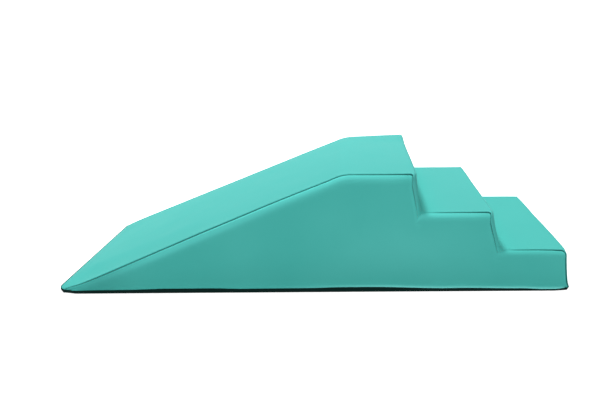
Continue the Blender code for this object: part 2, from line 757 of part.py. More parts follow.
def slider():
    """The slider: two plates, the wedge between them, side lips and the bail for its pull."""
    origin = (SLIDER_X, HINGE_Y, ZIP_HEIGHT)
    x_low, x_high = SLIDER_X - SLIDER_LENGTH / 2, SLIDER_X + SLIDER_LENGTH / 2
    half_post = COIL_SPLIT / 2 - GAP
    lip_inner = COIL_SPLIT / 2 + COIL_WIDTH + GAP
    overrun = SLIDER_PLATE / 2
    plate = slider_plate(x_low, x_high, SLIDER_HALF)
    front = solid("zip_slider", plate, PLATE_BACK, PLATE_FRONT, origin)
    rear = solid("slider_rear_plate", plate, REAR_PLATE_BACK, REAR_PLATE_FRONT, origin)
    post_low = x_high - SLIDER_LENGTH * POST_SHARE
    post_shape = rectangle(post_low, x_high, ZIP_HEIGHT - half_post, ZIP_HEIGHT + half_post)
    post = solid(
        "slider_post", post_shape, REAR_PLATE_FRONT - overrun, PLATE_BACK + overrun, origin)
    parts = [rear, post]
    for sign in (-1, 1):
        heights = sorted((ZIP_HEIGHT + sign * lip_inner, ZIP_HEIGHT + sign * SLIDER_HALF))
        lip = rectangle(x_low + SLIDER_HALF, x_high, *heights)
        parts.append(solid("slider_lip", lip, TAPE_FRONT + GAP, PLATE_BACK + overrun, origin))
    bail_low, bail_high = SLIDER_X - BAIL_LENGTH / 2, SLIDER_X + BAIL_LENGTH / 2
    heights = (ZIP_HEIGHT - BAIL_WIDTH / 2, ZIP_HEIGHT + BAIL_WIDTH / 2)
    roof = PLATE_FRONT + BAIL_RISE
    for low, high in ((bail_low, bail_low + BAIL_THICKNESS), (bail_high - BAIL_THICKNESS, bail_high)):
        leg = rectangle(low, high, *heights)
        parts.append(solid("slider_bail_leg", leg, PLATE_FRONT - overrun, roof + overrun, origin))
    top = rectangle(bail_low, bail_high, *heights)
    parts.append(solid("slider_bail_roof", top, roof, roof + BAIL_THICKNESS, origin))
    join_to(front, parts)


def pull():
    """The pull: a tapered tab whose bar lies under the bail, hinged about the bar's upright line."""
    origin = (SLIDER_X, HINGE_Y, ZIP_HEIGHT)
    y_low, y_high = HINGE_Y - PULL_THICKNESS / 2, HINGE_Y + PULL_THICKNESS / 2
    bar_x = SLIDER_X + PULL_THICKNESS / 2
    tip_x = SLIDER_X - PULL_LENGTH
    eye_half = BAIL_WIDTH / 2 + GAP
    roof_reach = math.hypot(BAIL_LENGTH / 2, BAIL_RISE / 2 + BAIL_THICKNESS)
    eye_x = SLIDER_X - roof_reach - PULL_THICKNESS
    upper = [
        (bar_x, PULL_WIDTH / 2), (eye_x, PULL_WIDTH / 2),
        (tip_x + PULL_TIP_WIDTH / 3, PULL_TIP_WIDTH / 2), (tip_x, PULL_TIP_WIDTH / 4),
    ]
    around = upper + [(x, -z) for x, z in reversed(upper)]
    tab = solid("zip_pull", [(x, ZIP_HEIGHT + z) for x, z in around], y_low, y_high, origin)
    eye = rectangle(eye_x, SLIDER_X - PULL_THICKNESS / 2, ZIP_HEIGHT - eye_half, ZIP_HEIGHT + eye_half)
    cutter = solid("pull_eye", eye, y_low - PULL_THICKNESS, y_high + PULL_THICKNESS, origin)
    cutter.display_type = "WIRE"
    cutter.hide_render = True
    cut = tab.modifiers.new("eye", "BOOLEAN")
    cut.operation = "DIFFERENCE"
    cut.object = cutter


def clear_scene():
    for existing in list(bpy.data.objects):
        bpy.data.objects.remove(existing, do_unlink=True)


def build():
    clear_scene()
    foam_core()
    top_strip()
    side_panel("cover_near_side", -1, [])
    side_panel("cover_far_side", 1, slot_loop())
    base()
    zip_track()
    slider()
    pull()


build()
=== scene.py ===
"""Looks of the soft play foam climber: the fitted vinyl cover, its seams, the base and the zip."""
import math

import bmesh
import bpy
import numpy as np
from mathutils import Matrix, Vector, noise
from mathutils.geometry import delaunay_2d_cdt


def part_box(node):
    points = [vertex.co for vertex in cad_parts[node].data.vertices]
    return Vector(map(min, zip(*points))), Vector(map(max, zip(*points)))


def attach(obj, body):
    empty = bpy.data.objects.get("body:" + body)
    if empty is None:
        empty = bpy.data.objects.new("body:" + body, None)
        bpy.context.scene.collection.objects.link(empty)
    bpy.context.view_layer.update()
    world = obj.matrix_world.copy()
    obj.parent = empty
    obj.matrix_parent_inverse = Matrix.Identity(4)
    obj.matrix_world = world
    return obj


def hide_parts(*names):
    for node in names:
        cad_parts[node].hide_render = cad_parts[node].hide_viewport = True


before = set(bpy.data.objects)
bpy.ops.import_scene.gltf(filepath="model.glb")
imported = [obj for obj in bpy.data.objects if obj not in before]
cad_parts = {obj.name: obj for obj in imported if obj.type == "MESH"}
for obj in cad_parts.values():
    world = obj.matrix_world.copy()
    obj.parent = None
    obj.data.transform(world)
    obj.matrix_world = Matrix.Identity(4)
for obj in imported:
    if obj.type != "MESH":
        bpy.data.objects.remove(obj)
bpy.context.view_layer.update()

# Side outline of the cover in metres
LENGTH = 2.0
WIDTH = 0.70
LOWER_TREAD = 0.167
UPPER_TREAD = LOWER_TREAD + 0.155
DECK = UPPER_TREAD + 0.152
DECK_DEPTH = 0.271
UPPER_TREAD_DEPTH = 0.280
LOWER_TREAD_DEPTH = 0.2615
TOP_RISER_LEAN = 0.017
MIDDLE_RISER_LEAN = 0.034
END_RISER_LEAN = 0.016
BEND_RADIUS = 0.160
NOSING_RADIUS = 0.011
TOP_VALLEY_RADIUS = 0.017
MIDDLE_VALLEY_RADIUS = 0.036

# The foot of the end riser stands out, from one distance before the end to another
END_FLARE = 0.0095
END_FLARE_HEIGHT = 0.018
END_FLARE_ZONE = (0.06, 0.012)

# Turned edge along toe and ramp, deck, riser, tread, riser, tread and end riser. At both ends of each
# stretch: its depth, its width, the angle at which the seam lies and how marked the seam is
EDGE_STRETCHES = (
    ((0.006, 0.040), (0.006, 0.036), (45, 20), (0.7, 1.0)),
    ((0.040, 0.038), (0.036, 0.036), (23, 23), (0.65, 1.3)),
    ((0.026, 0.019), (0.020, 0.016), (74, 76), (0.5, 0.4)),
    ((0.034, 0.032), (0.034, 0.034), (17, 17), (0.45, 1.3)),
    ((0.026, 0.023), (0.020, 0.018), (72, 74), (0.8, 0.6)),
    ((0.028, 0.024), (0.032, 0.030), (17, 17), (0.6, 1.2)),
    ((0.013, 0.012), (0.012, 0.012), (58, 58), (1.45, 1.35)),
)
DROP, ACROSS, ANGLE, STRENGTH = range(4)
TURN_POWER = 0.82
RAMP_WIDTH_SHARES = ((0.0, 0.0), (0.1, 0.06), (0.3, 0.3), (0.5, 0.53), (0.8, 0.88), (1.0, 1.0))
RAMP_DROP_SHARES = ((0.0, 0.0), (0.06, 0.2), (0.15, 0.5), (0.3, 0.68), (0.5, 0.82), (1.0, 1.0))
EDGE_BLEND = 0.006
NOSING_SHRINK_SHARE = 0.45
VALLEY_SHRINK_SHARE = 0.65

# The near edge of the ramp sags, most of all near the toe, and the deck's far edge rises from the
# bend to the nosing. Both grow between two distances from the middle line
EDGE_ZONE = (0.18, 0.33)
RAMP_SAG = 0.015
RAMP_SAG_SHARES = (
    (0.0, 0.0), (0.03, 0.3), (0.068, 0.75), (0.1, 0.92), (0.15, 0.9), (0.21, 0.79), (0.32, 0.54),
    (0.53, 0.18), (0.75, 0.06), (0.95, 0.2), (1.0, 0.12),
)
SAG_HEIGHT_LIMIT = 1.2
DECK_RISES = (-0.0005, 0.010)
DECK_RISE_START = 0.25

# Pull of the seams on the three nosings, along and up, at their near and far ends
NOSING_PULLS = (
    ((-0.008, 0.0), (0.004, 0.0)), ((-0.008, 0.0), (0.007, 0.0)), ((-0.004, -0.005), (0.007, 0.0)),
)
PULL_LENGTH = 0.050
NEAR_PULL_ZONE = (0.300, 0.345)
FAR_PULL_ZONE = (0.0, 0.345)

# Round corners of the toe, near and far, and how far the vinyl is tucked in over the base there
TOE_ROUNDS = (0.045, 0.020)
TOE_FADE = 0.045
TOE_TUCK = 0.004
TOE_TUCK_HEIGHT = 0.006

# Seams: the fold, with pairs for a seam on top and on the side, and the small rolls beside it
VINYL = 0.001
SEAM_GAP = 0.0006
SEAM_END_REACH = 0.05
FADE_POWER = 0.5
GROOVE_DEPTHS = (0.0048, 0.0040)
GROOVE_WIDTHS = (0.0026, 0.0020)
# Widths of the painted shade in the fold, on top and on the side, then on the panel's side, and how sharply
# it ends
SHADE_WIDTHS = (0.0034, 0.0020)
PANEL_SHADE_WIDTH = 0.0015
SHADE_SHARPNESS = 6
RIDGE_HEIGHT = 0.0010
RIDGE_PLACE = 0.0088
RIDGE_WIDTH = 0.0034
# Strength of the painted highlight on the small roll beside the seam, fading as the seam turns onto the
# side
RIDGE_HIGHLIGHT_SHARE = 0.12
RIDGE_HIGHLIGHT_TURN = 1.3
VALLEY_REACH = 0.052
SEAM_BREAK = 0.014
SEAM_BREAK_REACH = 0.006
SEAM_BREAK_FADE = 0.8

# Painted highlight along the side panel's broad roll over the edge, where the roll would catch the light
ROLL_PLACE = 0.015
ROLL_REACH = 0.016
ROLL_HIGHLIGHT_SHARE = 0.85
ROLL_DROP = 0.021
ROLL_CORNER_FADE = 0.5
ROLL_CORNER_REACH = 0.05
ROLL_HIGHLIGHT_PLACES = (
    (-1.0, 0.4), (-0.88, 0.9), (-0.6, 1.4), (-0.2, 1.2), (0.1, 1.0), (0.33, 0.9), (0.42, 0.7),
    (0.6, 0.6), (0.7, 0.35), (0.76, 0.1), (1.0, 0.1),
)

# Faint creases beside the seams of the risers
CREASE_DEPTH = 0.0007
CREASE_PLACES = (0.0055, 0.0100)
CREASE_WIDTH = 0.0014
CREASE_REACH = 0.05

# Crowns of the stretched vinyl, and its unevenness: height, size and place in the noise
TOP_CROWN = 0.003
SIDE_CROWN = 0.004
CROWN_START = 0.030
CROWN_REACH = 0.120
SWELL = (0.0011, 0.22, 3.1)
RIPPLE = (0.00035, 0.075, 11.3)
PUCKER = (0.00030, 0.013, 23.9)
PUCKER_REACH = 0.010
PUCKER_SQUEEZE = (1.0, 0.35, 1.0)
NOISE_SHIFT = (1.0, 1.7, 0.6)

# Hem of the side panels, from the toe to the end, and the painted highlight on the lip above it
HEM_HEIGHT = 0.020
HEM_FLARE = 0.007
HEM_FALL = 0.0060
HEM_FADE = 0.060
HEM_SHARES = (
    (0.0, 0.75), (0.03, 0.78), (0.06, 0.86), (0.15, 0.92), (0.2, 1.08), (0.31, 1.1), (0.35, 0.98),
    (0.5, 1.05), (0.55, 1.18), (0.63, 1.18), (0.67, 1.06), (0.71, 0.9), (0.75, 0.82), (0.79, 0.87),
    (0.83, 0.81), (0.87, 0.72), (0.91, 0.69), (0.945, 0.5), (0.97, 0.5), (1.0, 0.62),
)
LIP_HIGHLIGHT_HEIGHT = 0.0050
LIP_HIGHLIGHT_PLACES = ((-0.2, 0.0), (0.1, 0.5), (0.3, 0.9), (0.95, 1.0))

# Rim of the base, row by row from the floor's edge of the hem down: how far out, how high
BASE_FABRIC = 0.0012
BASE_ROWS = (
    (0.0, 1.0), (0.0006, 0.72), (0.0006, 0.4), (-0.0002, 0.16), (-0.0022, 0.03), (-0.006, 0.0),
)
TOE_ROWS = (0.0, 0.0004, -0.0010, -0.0036, -0.0075, -0.0130)
TOE_ROWS_ZONE = (0.01, 0.08)
BASE_END_COUNT = 60

# Painted sheen: how much paler the top is painted, from the toe to the end, standing in for its reflection
# of the lamps
SHEEN_PLACES = (
    (-1.0, 0.2), (-0.6, 0.6), (-0.2, 0.9), (0.33, 1.0), (0.45, 0.85), (0.62, 0.85), (0.75, 0.5),
    (1.0, 0.4),
)
# Reach of the painted sheen's fading in the valleys, where shade falls
SHEEN_VALLEY_REACH = 0.07

# Broad painted shade and light on the side panels: painted shade near the toe, painted light in the middle
TOE_SHADE = 0.25
TOE_SHADE_X = -0.84
TOE_SHADE_REACH = 0.12
MIDDLE_LIGHT = 0.11
MIDDLE_LIGHT_PLACE = (0.32, 0.17)
MIDDLE_LIGHT_REACH = (0.25, 0.12)

# The zip's opening, its coil and the stitches round it
ZIP_HEIGHT = 0.040
ZIP_START = 0.22
ZIP_LENGTH = 1.64
SLOT_HALF = 0.0065
SLOT_REACH = 0.012
SLOT_SINK = 0.0004
COIL_PITCH = 0.0022
COIL_FILL = 0.92
COIL_SIDES = 6
STITCH_MARGIN = 0.0035
STITCH_LENGTH = 0.0032
STITCH_PITCH = 0.0040
STITCH_THICKNESS = 0.0008
STITCH_LIFT = 0.0001
METAL_EDGE = 0.00025
METAL_EDGE_ANGLE = 30
WORN_EDGE = 0.0005

# A tooth of the coil from head to root: place, width and height as shares of the tooth's
COIL_RINGS = (
    (0.0, 0.45, 0.75), (0.18, 0.95, 0.95), (0.45, 0.70, 0.80), (0.8, 0.75, 0.9), (1.0, 0.55, 0.6),
)

# Distance between the yarns of the zip's tapes
YARN_PITCH = 0.0009

# Mesh spacing
ROW_STEP = 0.007
FLAT_STEP = 0.014
STRIP_STEPS = (
    0.0, 0.0006, 0.0012, 0.002, 0.0028, 0.0036, 0.0044, 0.0052, 0.0062, 0.0075, 0.009, 0.011, 0.0135,
    0.017, 0.022, 0.028, 0.036,
)
MIDDLE_COLUMNS = 56
TURN_SAMPLE_COUNT = 121
TURN_RINGS = 15
TURN_RING_POWER = 1.7
FLAT_RINGS = (0.0015, 0.003, 0.005, 0.0075)
HEM_RINGS = (0.3, 0.7, 1.2, 1.9, 2.8)
CELL_CLEARANCE = 0.45
FIRST_LEVEL = 0.9
SMALLEST_AREA = 1e-8
SMALLEST_LENGTH_SQUARED = 1e-12
MERGE_DISTANCE = 1e-6

# Linear colours: the plain one on a shader's own socket and the two that its texture goes between.
# The fourth number is how far a mark of the vinyl covers what is under it
VINYL_COLOUR = (0.10, 0.60, 0.55)
VINYL_COLOURS = ((0.086, 0.585, 0.524), (0.098, 0.615, 0.552))
# Colours of the painted sheen, highlights, light and shade
PAINTED_SHEEN_COLOUR = (0.106, 0.554, 0.508, 1.0)
PAINTED_HIGHLIGHT_COLOUR = (0.165, 0.90, 0.83, 0.9)
PAINTED_LIGHT_COLOUR = (0.25, 0.98, 0.91, 1.0)
PAINTED_SHADE_COLOUR = (0.012, 0.11, 0.10, 0.85)
BASE_COLOUR = (0.004, 0.021, 0.018)
TAPE_COLOURS = ((0.02, 0.15, 0.138), (0.04, 0.24, 0.222))
COIL_COLOUR = (0.02, 0.14, 0.13)
COIL_COLOURS = ((0.016, 0.118, 0.108), (0.026, 0.165, 0.152))
PAINT_COLOUR = (0.03, 0.032, 0.034)
BARE_METAL_COLOUR = (0.34, 0.34, 0.33)
FOAM_COLOUR = (0.78, 0.74, 0.60)
FOAM_COLOURS = ((0.74, 0.68, 0.50), (0.80, 0.76, 0.62))
THREAD_COLOUR = (0.05, 0.42, 0.38)
THREAD_COLOURS = ((0.03, 0.30, 0.27), (0.06, 0.47, 0.43))
FLOOR_COLOUR = (0.80, 0.80, 0.80)

# Painted light and shade that the vinyl's material reads from the mesh, one column each: painted shade,
# painted highlight, painted sheen and painted light
MARKS = ("painted_shade", "painted_highlight", "painted_sheen", "painted_light")
SHADE, HIGHLIGHT, SHEEN, LIGHT = range(len(MARKS))

# Floor, surroundings and lamps: name, place, target, width, height and power of each lamp
FLOOR_SIZE = 14.0
FLOOR_GLOW = 0.86
FLOOR_BOUNCE = 0.45
WORLD_STRENGTH = 0.32
SEEN_WORLD_STRENGTH = 1.2
AIM = (0.0, 0.0, 0.2)
LAMPS = (
    ("overhead", (0.7, 0.3, 5.0), AIM, 4.0, 4.0, 19.0),
    ("upper_left", (-1.0, 1.6, 5.0), AIM, 0.9, 0.9, 180.0),
    ("front", (0.4, -3.6, 1.2), AIM, 2.6, 1.2, 38.0),
    ("back", (0.2, 3.4, 2.4), (0.0, 0.0, 0.3), 3.4, 1.4, 14.5),
)

# The photograph's camera. Focal length and centre are in pixels of its 600, angles in radians
PICTURE_WIDTH = 600.0
FOCAL_PIXELS = 523.50
CENTRE_PIXEL_X = 362.55
SENSOR_WIDTH = 36.0
CAMERA_PLACE = (0.14404, -2.16852, 0.99727)
CAMERA_PITCH = 0.32753
CAMERA_YAW = -0.02111
CAMERA_ROLL = 0.00369

TOE_X = -LENGTH / 2
END_X = LENGTH / 2
LOWER_NOSING_X = END_X - END_FLARE - END_RISER_LEAN
MIDDLE_FOOT_X = LOWER_NOSING_X - LOWER_TREAD_DEPTH
UPPER_NOSING_X = MIDDLE_FOOT_X - MIDDLE_RISER_LEAN
TOP_FOOT_X = UPPER_NOSING_X - UPPER_TREAD_DEPTH
DECK_NOSING_X = TOP_FOOT_X - TOP_RISER_LEAN
BEND_X = DECK_NOSING_X - DECK_DEPTH
SIDE_Y = WIDTH / 2 - SIDE_CROWN


def looked_up(table, places):
    """Values of a table of (place, value) pairs at one or many places."""
    return np.interp(places, *np.array(table).T)


def hem_height(x):
    """Height of the seam between the cover and the base at a place along the climber."""
    return HEM_HEIGHT * looked_up(HEM_SHARES, (x - TOE_X) / LENGTH)


CORNERS = [Vector(point) for point in (
    (TOE_X, hem_height(TOE_X)),
    (BEND_X, DECK),
    (DECK_NOSING_X, DECK),
    (TOP_FOOT_X, UPPER_TREAD),
    (UPPER_NOSING_X, UPPER_TREAD),
    (MIDDLE_FOOT_X, LOWER_TREAD),
    (LOWER_NOSING_X, LOWER_TREAD),
    (END_X - END_FLARE, hem_height(END_X)),
)]
NOSINGS = CORNERS[2:7:2]
FEET = CORNERS[3:8:2]
VALLEYS = CORNERS[3:6:2]
CORNER_RADII = (
    BEND_RADIUS, NOSING_RADIUS, TOP_VALLEY_RADIUS, NOSING_RADIUS, MIDDLE_VALLEY_RADIUS, NOSING_RADIUS,
)
CORNER_COUNTS = (16, 12, 14, 12, 14, 12)
STRETCH_COUNTS = [
    max(2, round((end - start).length / ROW_STEP)) for start, end in zip(CORNERS, CORNERS[1:])
]


def eased(values, start, end):
    """Rises smoothly from 0 at a start to 1 at an end."""
    share = np.clip((values - start) / (end - start), 0, 1)
    return share * share * (3 - 2 * share)


def bell(distances, reach):
    """1 at no distance, falling off smoothly around a reach."""
    return np.exp(-(distances / reach) ** 2)


def cross_lines(first, second):
    """Point where two endless lines meet."""
    (a, b), (c, d) = first, second
    along, other = b - a, d - c
    return a + along * ((c - a).cross(other) / along.cross(other))


def level_point(line, height):
    """Point of an endless line at a height."""
    start, end = line
    return start + (end - start) * ((height - start.y) / (end.y - start.y))


def inward(start, end):
    """Direction into the solid, square to an edge of the outline."""
    along = (end - start).normalized()
    return Vector((along.y, -along.x))


def moved_corners(depths):
    """The outline's corners with each edge moved in by a depth at each of its ends."""
    lines = []
    for start, end, (start_depth, end_depth) in zip(CORNERS, CORNERS[1:], depths):
        into = inward(start, end)
        lines.append((start + into * start_depth, end + into * end_depth))
    middle = [cross_lines(one, other) for one, other in zip(lines, lines[1:])]
    first = level_point(lines[0], CORNERS[0].y)
    last = level_point(lines[-1], CORNERS[-1].y)
    return [first] + middle + [last]


def corner_arc(before, corner, after, radius, count):
    """Points of the round that joins two edges at a corner."""
    back = (before - corner).normalized()
    ahead = (after - corner).normalized()
    half = back.angle(ahead) / 2
    centre = corner + (back + ahead).normalized() * (radius / math.sin(half))
    start = corner + back * (radius / math.tan(half)) - centre
    end = corner + ahead * (radius / math.tan(half)) - centre
    turn = start.angle(end)
    points = []
    for index in range(count + 1):
        share = index / count
        near, far = math.sin((1 - share) * turn), math.sin(share * turn)
        points.append(centre + (start * near + end * far) / math.sin(turn))
    return points


def straight(start, end, count):
    """Evenly spaced points from after a start up to an end."""
    return [start.lerp(end, (index + 1) / count) for index in range(count)]


def outline(turn_share, depth=0.0):
    """Side outline from the toe to the end riser's foot, without the ramp's sag and the end's flare.

    turn_share is 0 at the top of the turned edge and 1 where it meets the flat of the side.
    depth moves the outline in evenly after that.
    """
    depths = [[drop * turn_share + depth for drop in stretch[DROP]] for stretch in EDGE_STRETCHES]
    corners = moved_corners(depths)
    points = [corners[0]]
    for index, radius in enumerate(CORNER_RADII):
        before, corner, after = corners[index:index + 3]
        rising = (corner - before).cross(after - corner) > 0
        share = VALLEY_SHRINK_SHARE if rising else NOSING_SHRINK_SHARE
        fitted = radius * (1 - share * turn_share) + (depth if rising else -depth)
        arc = corner_arc(before, corner, after, max(fitted, VINYL), CORNER_COUNTS[index])
        points += straight(points[-1], arc[0], STRETCH_COUNTS[index]) + arc[1:]
    points += straight(points[-1], corners[-1], STRETCH_COUNTS[-1])
    into_ramp = inward(CORNERS[0], CORNERS[1])
    first_drop, last_drop = EDGE_STRETCHES[0][DROP]
    for index in range(1, STRETCH_COUNTS[0]):
        share = index / STRETCH_COUNTS[0]
        extra = (last_drop - first_drop) * (looked_up(RAMP_DROP_SHARES, share) - share) * turn_share
        points[index] += into_ramp * extra
    return np.array([tuple(point) for point in points])


def outward_normals(points):
    """Normals of an open outline that has the solid on its right."""
    steps = np.diff(points, axis=0)
    steps /= np.linalg.norm(steps, axis=1)[:, None]
    steps = np.vstack([steps[:1], steps, steps[-1:]])
    sums = steps[:-1] + steps[1:]
    normals = np.stack([-sums[:, 1], sums[:, 0]], axis=1)
    return normals / np.linalg.norm(normals, axis=1)[:, None]


def along_outline(points):
    """Length along an outline at each of its points."""
    return np.concatenate([[0.0], np.cumsum(np.linalg.norm(np.diff(points, axis=0), axis=1))])


OUTER = outline(0.0)
INNER = outline(1.0)
ROWS = len(OUTER)
ALONG = along_outline(OUTER)
NORMALS = outward_normals(OUTER)


def smoothed(values):
    """Values of the outline's points, averaged with their neighbours."""
    weights = bell(ALONG[:, None] - ALONG[None, :], EDGE_BLEND)
    return weights @ values / weights.sum(axis=1)


def stretch_values(column, scale=1.0):
    """A column of EDGE_STRETCHES for every point of the outline, blended over the corners."""
    values = [EDGE_STRETCHES[0][column][0] * scale]
    for index, count in enumerate(STRETCH_COUNTS):
        start, end = (value * scale for value in EDGE_STRETCHES[index][column])
        for step in range(1, count + 1):
            share = step / count
            if index == 0:
                share = looked_up(RAMP_WIDTH_SHARES, share)
            values.append(start + (end - start) * share)
        if index < len(CORNER_RADII):
            following = EDGE_STRETCHES[index + 1][column][0] * scale
            for step in range(1, CORNER_COUNTS[index] + 1):
                blend = step / CORNER_COUNTS[index]
                values.append(end + (following - end) * blend * blend * (3 - 2 * blend))
    return smoothed(np.array(values))


def corner_weights(chosen, reach):
    """How near each point of the outline lies to one of some corners, from 0 to 1."""
    weights = np.zeros(ROWS)
    for corner in chosen:
        weights = np.maximum(weights, bell(np.linalg.norm(OUTER - np.array(corner), axis=1), reach))
    return weights


def riser_weights():
    """How near each point of the outline lies to the middle of one of the two inner risers."""
    weights = np.zeros(ROWS)
    for nosing, foot in zip(NOSINGS[:2], VALLEYS):
        weights += bell(np.linalg.norm(OUTER - np.array((nosing + foot) / 2), axis=1), CREASE_REACH)
    return weights


DROPS = np.linalg.norm(INNER - OUTER, axis=1)
WIDTHS = stretch_values(ACROSS)
EDGE_STARTS = SIDE_Y - WIDTHS
SEAM_ANGLES = stretch_values(ANGLE, math.radians(1))
SEAM_TURNS = np.sin(SEAM_ANGLES)
SEAM_BREAKS = [nosing - Vector((0, SEAM_BREAK)) for nosing in NOSINGS[:2]]
SEAM_SHOWN = stretch_values(STRENGTH) * (1 - corner_weights(VALLEYS, VALLEY_REACH))
SEAM_SHOWN *= 1 - SEAM_BREAK_FADE * corner_weights(SEAM_BREAKS, SEAM_BREAK_REACH)
RISER_WEIGHTS = riser_weights()
ENDS = np.clip(np.minimum(ALONG, ALONG[-1] - ALONG) / SEAM_END_REACH, 0, 1) ** FADE_POWER
# Strength of the painted highlight on the side panel's roll at each row
ROLL_HIGHLIGHT_STRENGTHS = np.clip(1 - SEAM_TURNS, 0, 1) ** FADE_POWER * np.clip(DROPS / ROLL_DROP, 0, 1)
ROLL_HIGHLIGHT_STRENGTHS *= 1 - ROLL_CORNER_FADE * corner_weights(NOSINGS, ROLL_CORNER_REACH)
ROLL_HIGHLIGHT_STRENGTHS *= looked_up(ROLL_HIGHLIGHT_PLACES, OUTER[:, 0])

# Cross-section of the turned edge at each row: angles, and the length along it up to each angle
TURN_SAMPLES = np.linspace(0, math.pi / 2, TURN_SAMPLE_COUNT)
TURN_ACROSS = np.sin(TURN_SAMPLES) ** TURN_POWER
TURN_DOWN = np.abs(np.cos(TURN_SAMPLES)) ** TURN_POWER
TURN_LENGTHS = np.stack([
    np.concatenate([[0.0], np.cumsum(np.hypot(
        np.diff(width * TURN_ACROSS), np.diff(drop * TURN_DOWN)))])
    for width, drop in zip(WIDTHS, DROPS)
])
SEAM_LENGTHS = np.array([
    np.interp(angle, TURN_SAMPLES, lengths) for angle, lengths in zip(SEAM_ANGLES, TURN_LENGTHS)
])
BEYOND_SEAM = TURN_LENGTHS[:, -1] - SEAM_LENGTHS - SEAM_GAP / 2


def toe_rounding(x, y):
    """How far the corners of the toe are drawn in along the climber."""
    rounds = np.where(y < 0, *TOE_ROUNDS)
    over = np.clip((np.abs(y) - (SIDE_Y - rounds)) / rounds, 0, 1)
    return rounds * (1 - np.sqrt(1 - over * over)) * np.exp(-(x - TOE_X) / TOE_FADE)


def above_hem(heights, x):
    """Height above the hem, and 0 below it."""
    return np.clip(heights - hem_height(x), 0, None)


def ramp_sag(x, y, z):
    """How far the ramp's near edge hangs down, and the side below it, less and less to the hem."""
    share = np.clip((x - TOE_X) / (BEND_X - TOE_X), 0, 1)
    top = CORNERS[0].y + (DECK - CORNERS[0].y) * share
    hem = hem_height(x)
    height = np.clip((z - hem) / np.maximum(top - hem, VINYL), 0, SAG_HEIGHT_LIMIT)
    return RAMP_SAG * looked_up(RAMP_SAG_SHARES, share) * eased(-y, *EDGE_ZONE) * height


def deck_rise(x, y, z):
    """How far the deck's far edge stands above the deck."""
    share = np.clip((x - BEND_X) / DECK_DEPTH, 0, 1)
    rise = DECK_RISES[0] + (DECK_RISES[1] - DECK_RISES[0]) * share
    rise *= eased(x, BEND_X - DECK_RISE_START, BEND_X) * eased(y, *EDGE_ZONE)
    return rise * eased(z, UPPER_TREAD, DECK)


def settled(places):
    """Places after the sags, rises and pulls, the round corners of the toe and the end's flare."""
    x, y, z = places.T.copy()
    places = places.copy()
    places[:, 2] += deck_rise(x, y, z) - ramp_sag(x, y, z)
    for nosing, foot, (near_pull, far_pull) in zip(NOSINGS, FEET, NOSING_PULLS):
        reach = bell(x - nosing.x, PULL_LENGTH) * eased(z, foot.y, nosing.y - NOSING_RADIUS)
        near, far = reach * eased(-y, *NEAR_PULL_ZONE), reach * eased(y, *FAR_PULL_ZONE)
        places[:, 0] += near * near_pull[0] + far * far_pull[0]
        places[:, 2] += near * near_pull[1] + far * far_pull[1]
    flare = np.exp(-above_hem(z, x) / END_FLARE_HEIGHT)
    places[:, 0] += END_FLARE * flare * eased(x, *(END_X - distance for distance in END_FLARE_ZONE))
    places[:, 0] += toe_rounding(x, y)
    places[:, 0] += TOE_TUCK * np.exp(-above_hem(z, x) / TOE_TUCK_HEIGHT) * (x < 0)
    return places


def waves(places, height, size, offset):
    """Smooth noise of a height and size at many places."""
    shift = Vector([offset * part for part in NOISE_SHIFT])
    return height * np.array([noise.noise(Vector(place) / size + shift) for place in places])


def unevenness(places, seam_distances):
    """Outward displacement of the vinyl: broad swells, ripples and fine puckers along the seams."""
    near = np.exp(-seam_distances / PUCKER_REACH)
    pucker = near * waves(places * np.array(PUCKER_SQUEEZE), *PUCKER)
    return waves(places, *SWELL) + waves(places, *RIPPLE) + pucker


def by_turn(pair, turn):
    """A size of the seam where it lies on top, blended into its size where it lies on the side."""
    return pair[0] + (pair[1] - pair[0]) * turn


def groove(seam_distances, rows=slice(None)):
    """Cross-section of the seam: a narrow fold with a small raised roll beside it."""
    turn = SEAM_TURNS[rows]
    sunk = -by_turn(GROOVE_DEPTHS, turn) * bell(seam_distances, by_turn(GROOVE_WIDTHS, turn))
    raised = RIDGE_HEIGHT * bell(seam_distances - RIDGE_PLACE, RIDGE_WIDTH)
    return (sunk + raised) * SEAM_SHOWN[rows]


def creases(seam_distances):
    """Faint folds beside the seams of the risers."""
    folds = sum(bell(seam_distances - place, CREASE_WIDTH) for place in CREASE_PLACES)
    return -CREASE_DEPTH * folds * RISER_WEIGHTS


def seam_marks(seam_distances, shade_widths, rows=slice(None)):
    """Painted shade in the fold and painted highlight on the small roll beside it, at a distance from the
    seam.
    """
    shown = SEAM_SHOWN[rows]
    marks = np.zeros((len(shown), len(MARKS)))
    # Painted shade in the seam's fold
    widened = shade_widths * np.maximum(shown, 1) ** 2
    marks[:, SHADE] = np.exp(-(seam_distances / widened) ** SHADE_SHARPNESS) * np.minimum(shown, 1)
    # Painted highlight on the small roll beside the seam
    ridge = RIDGE_HIGHLIGHT_SHARE * bell(seam_distances - RIDGE_PLACE, RIDGE_WIDTH)
    marks[:, HIGHLIGHT] = ridge * shown * np.clip(RIDGE_HIGHLIGHT_TURN - SEAM_TURNS, 0, 1)[rows]
    return marks


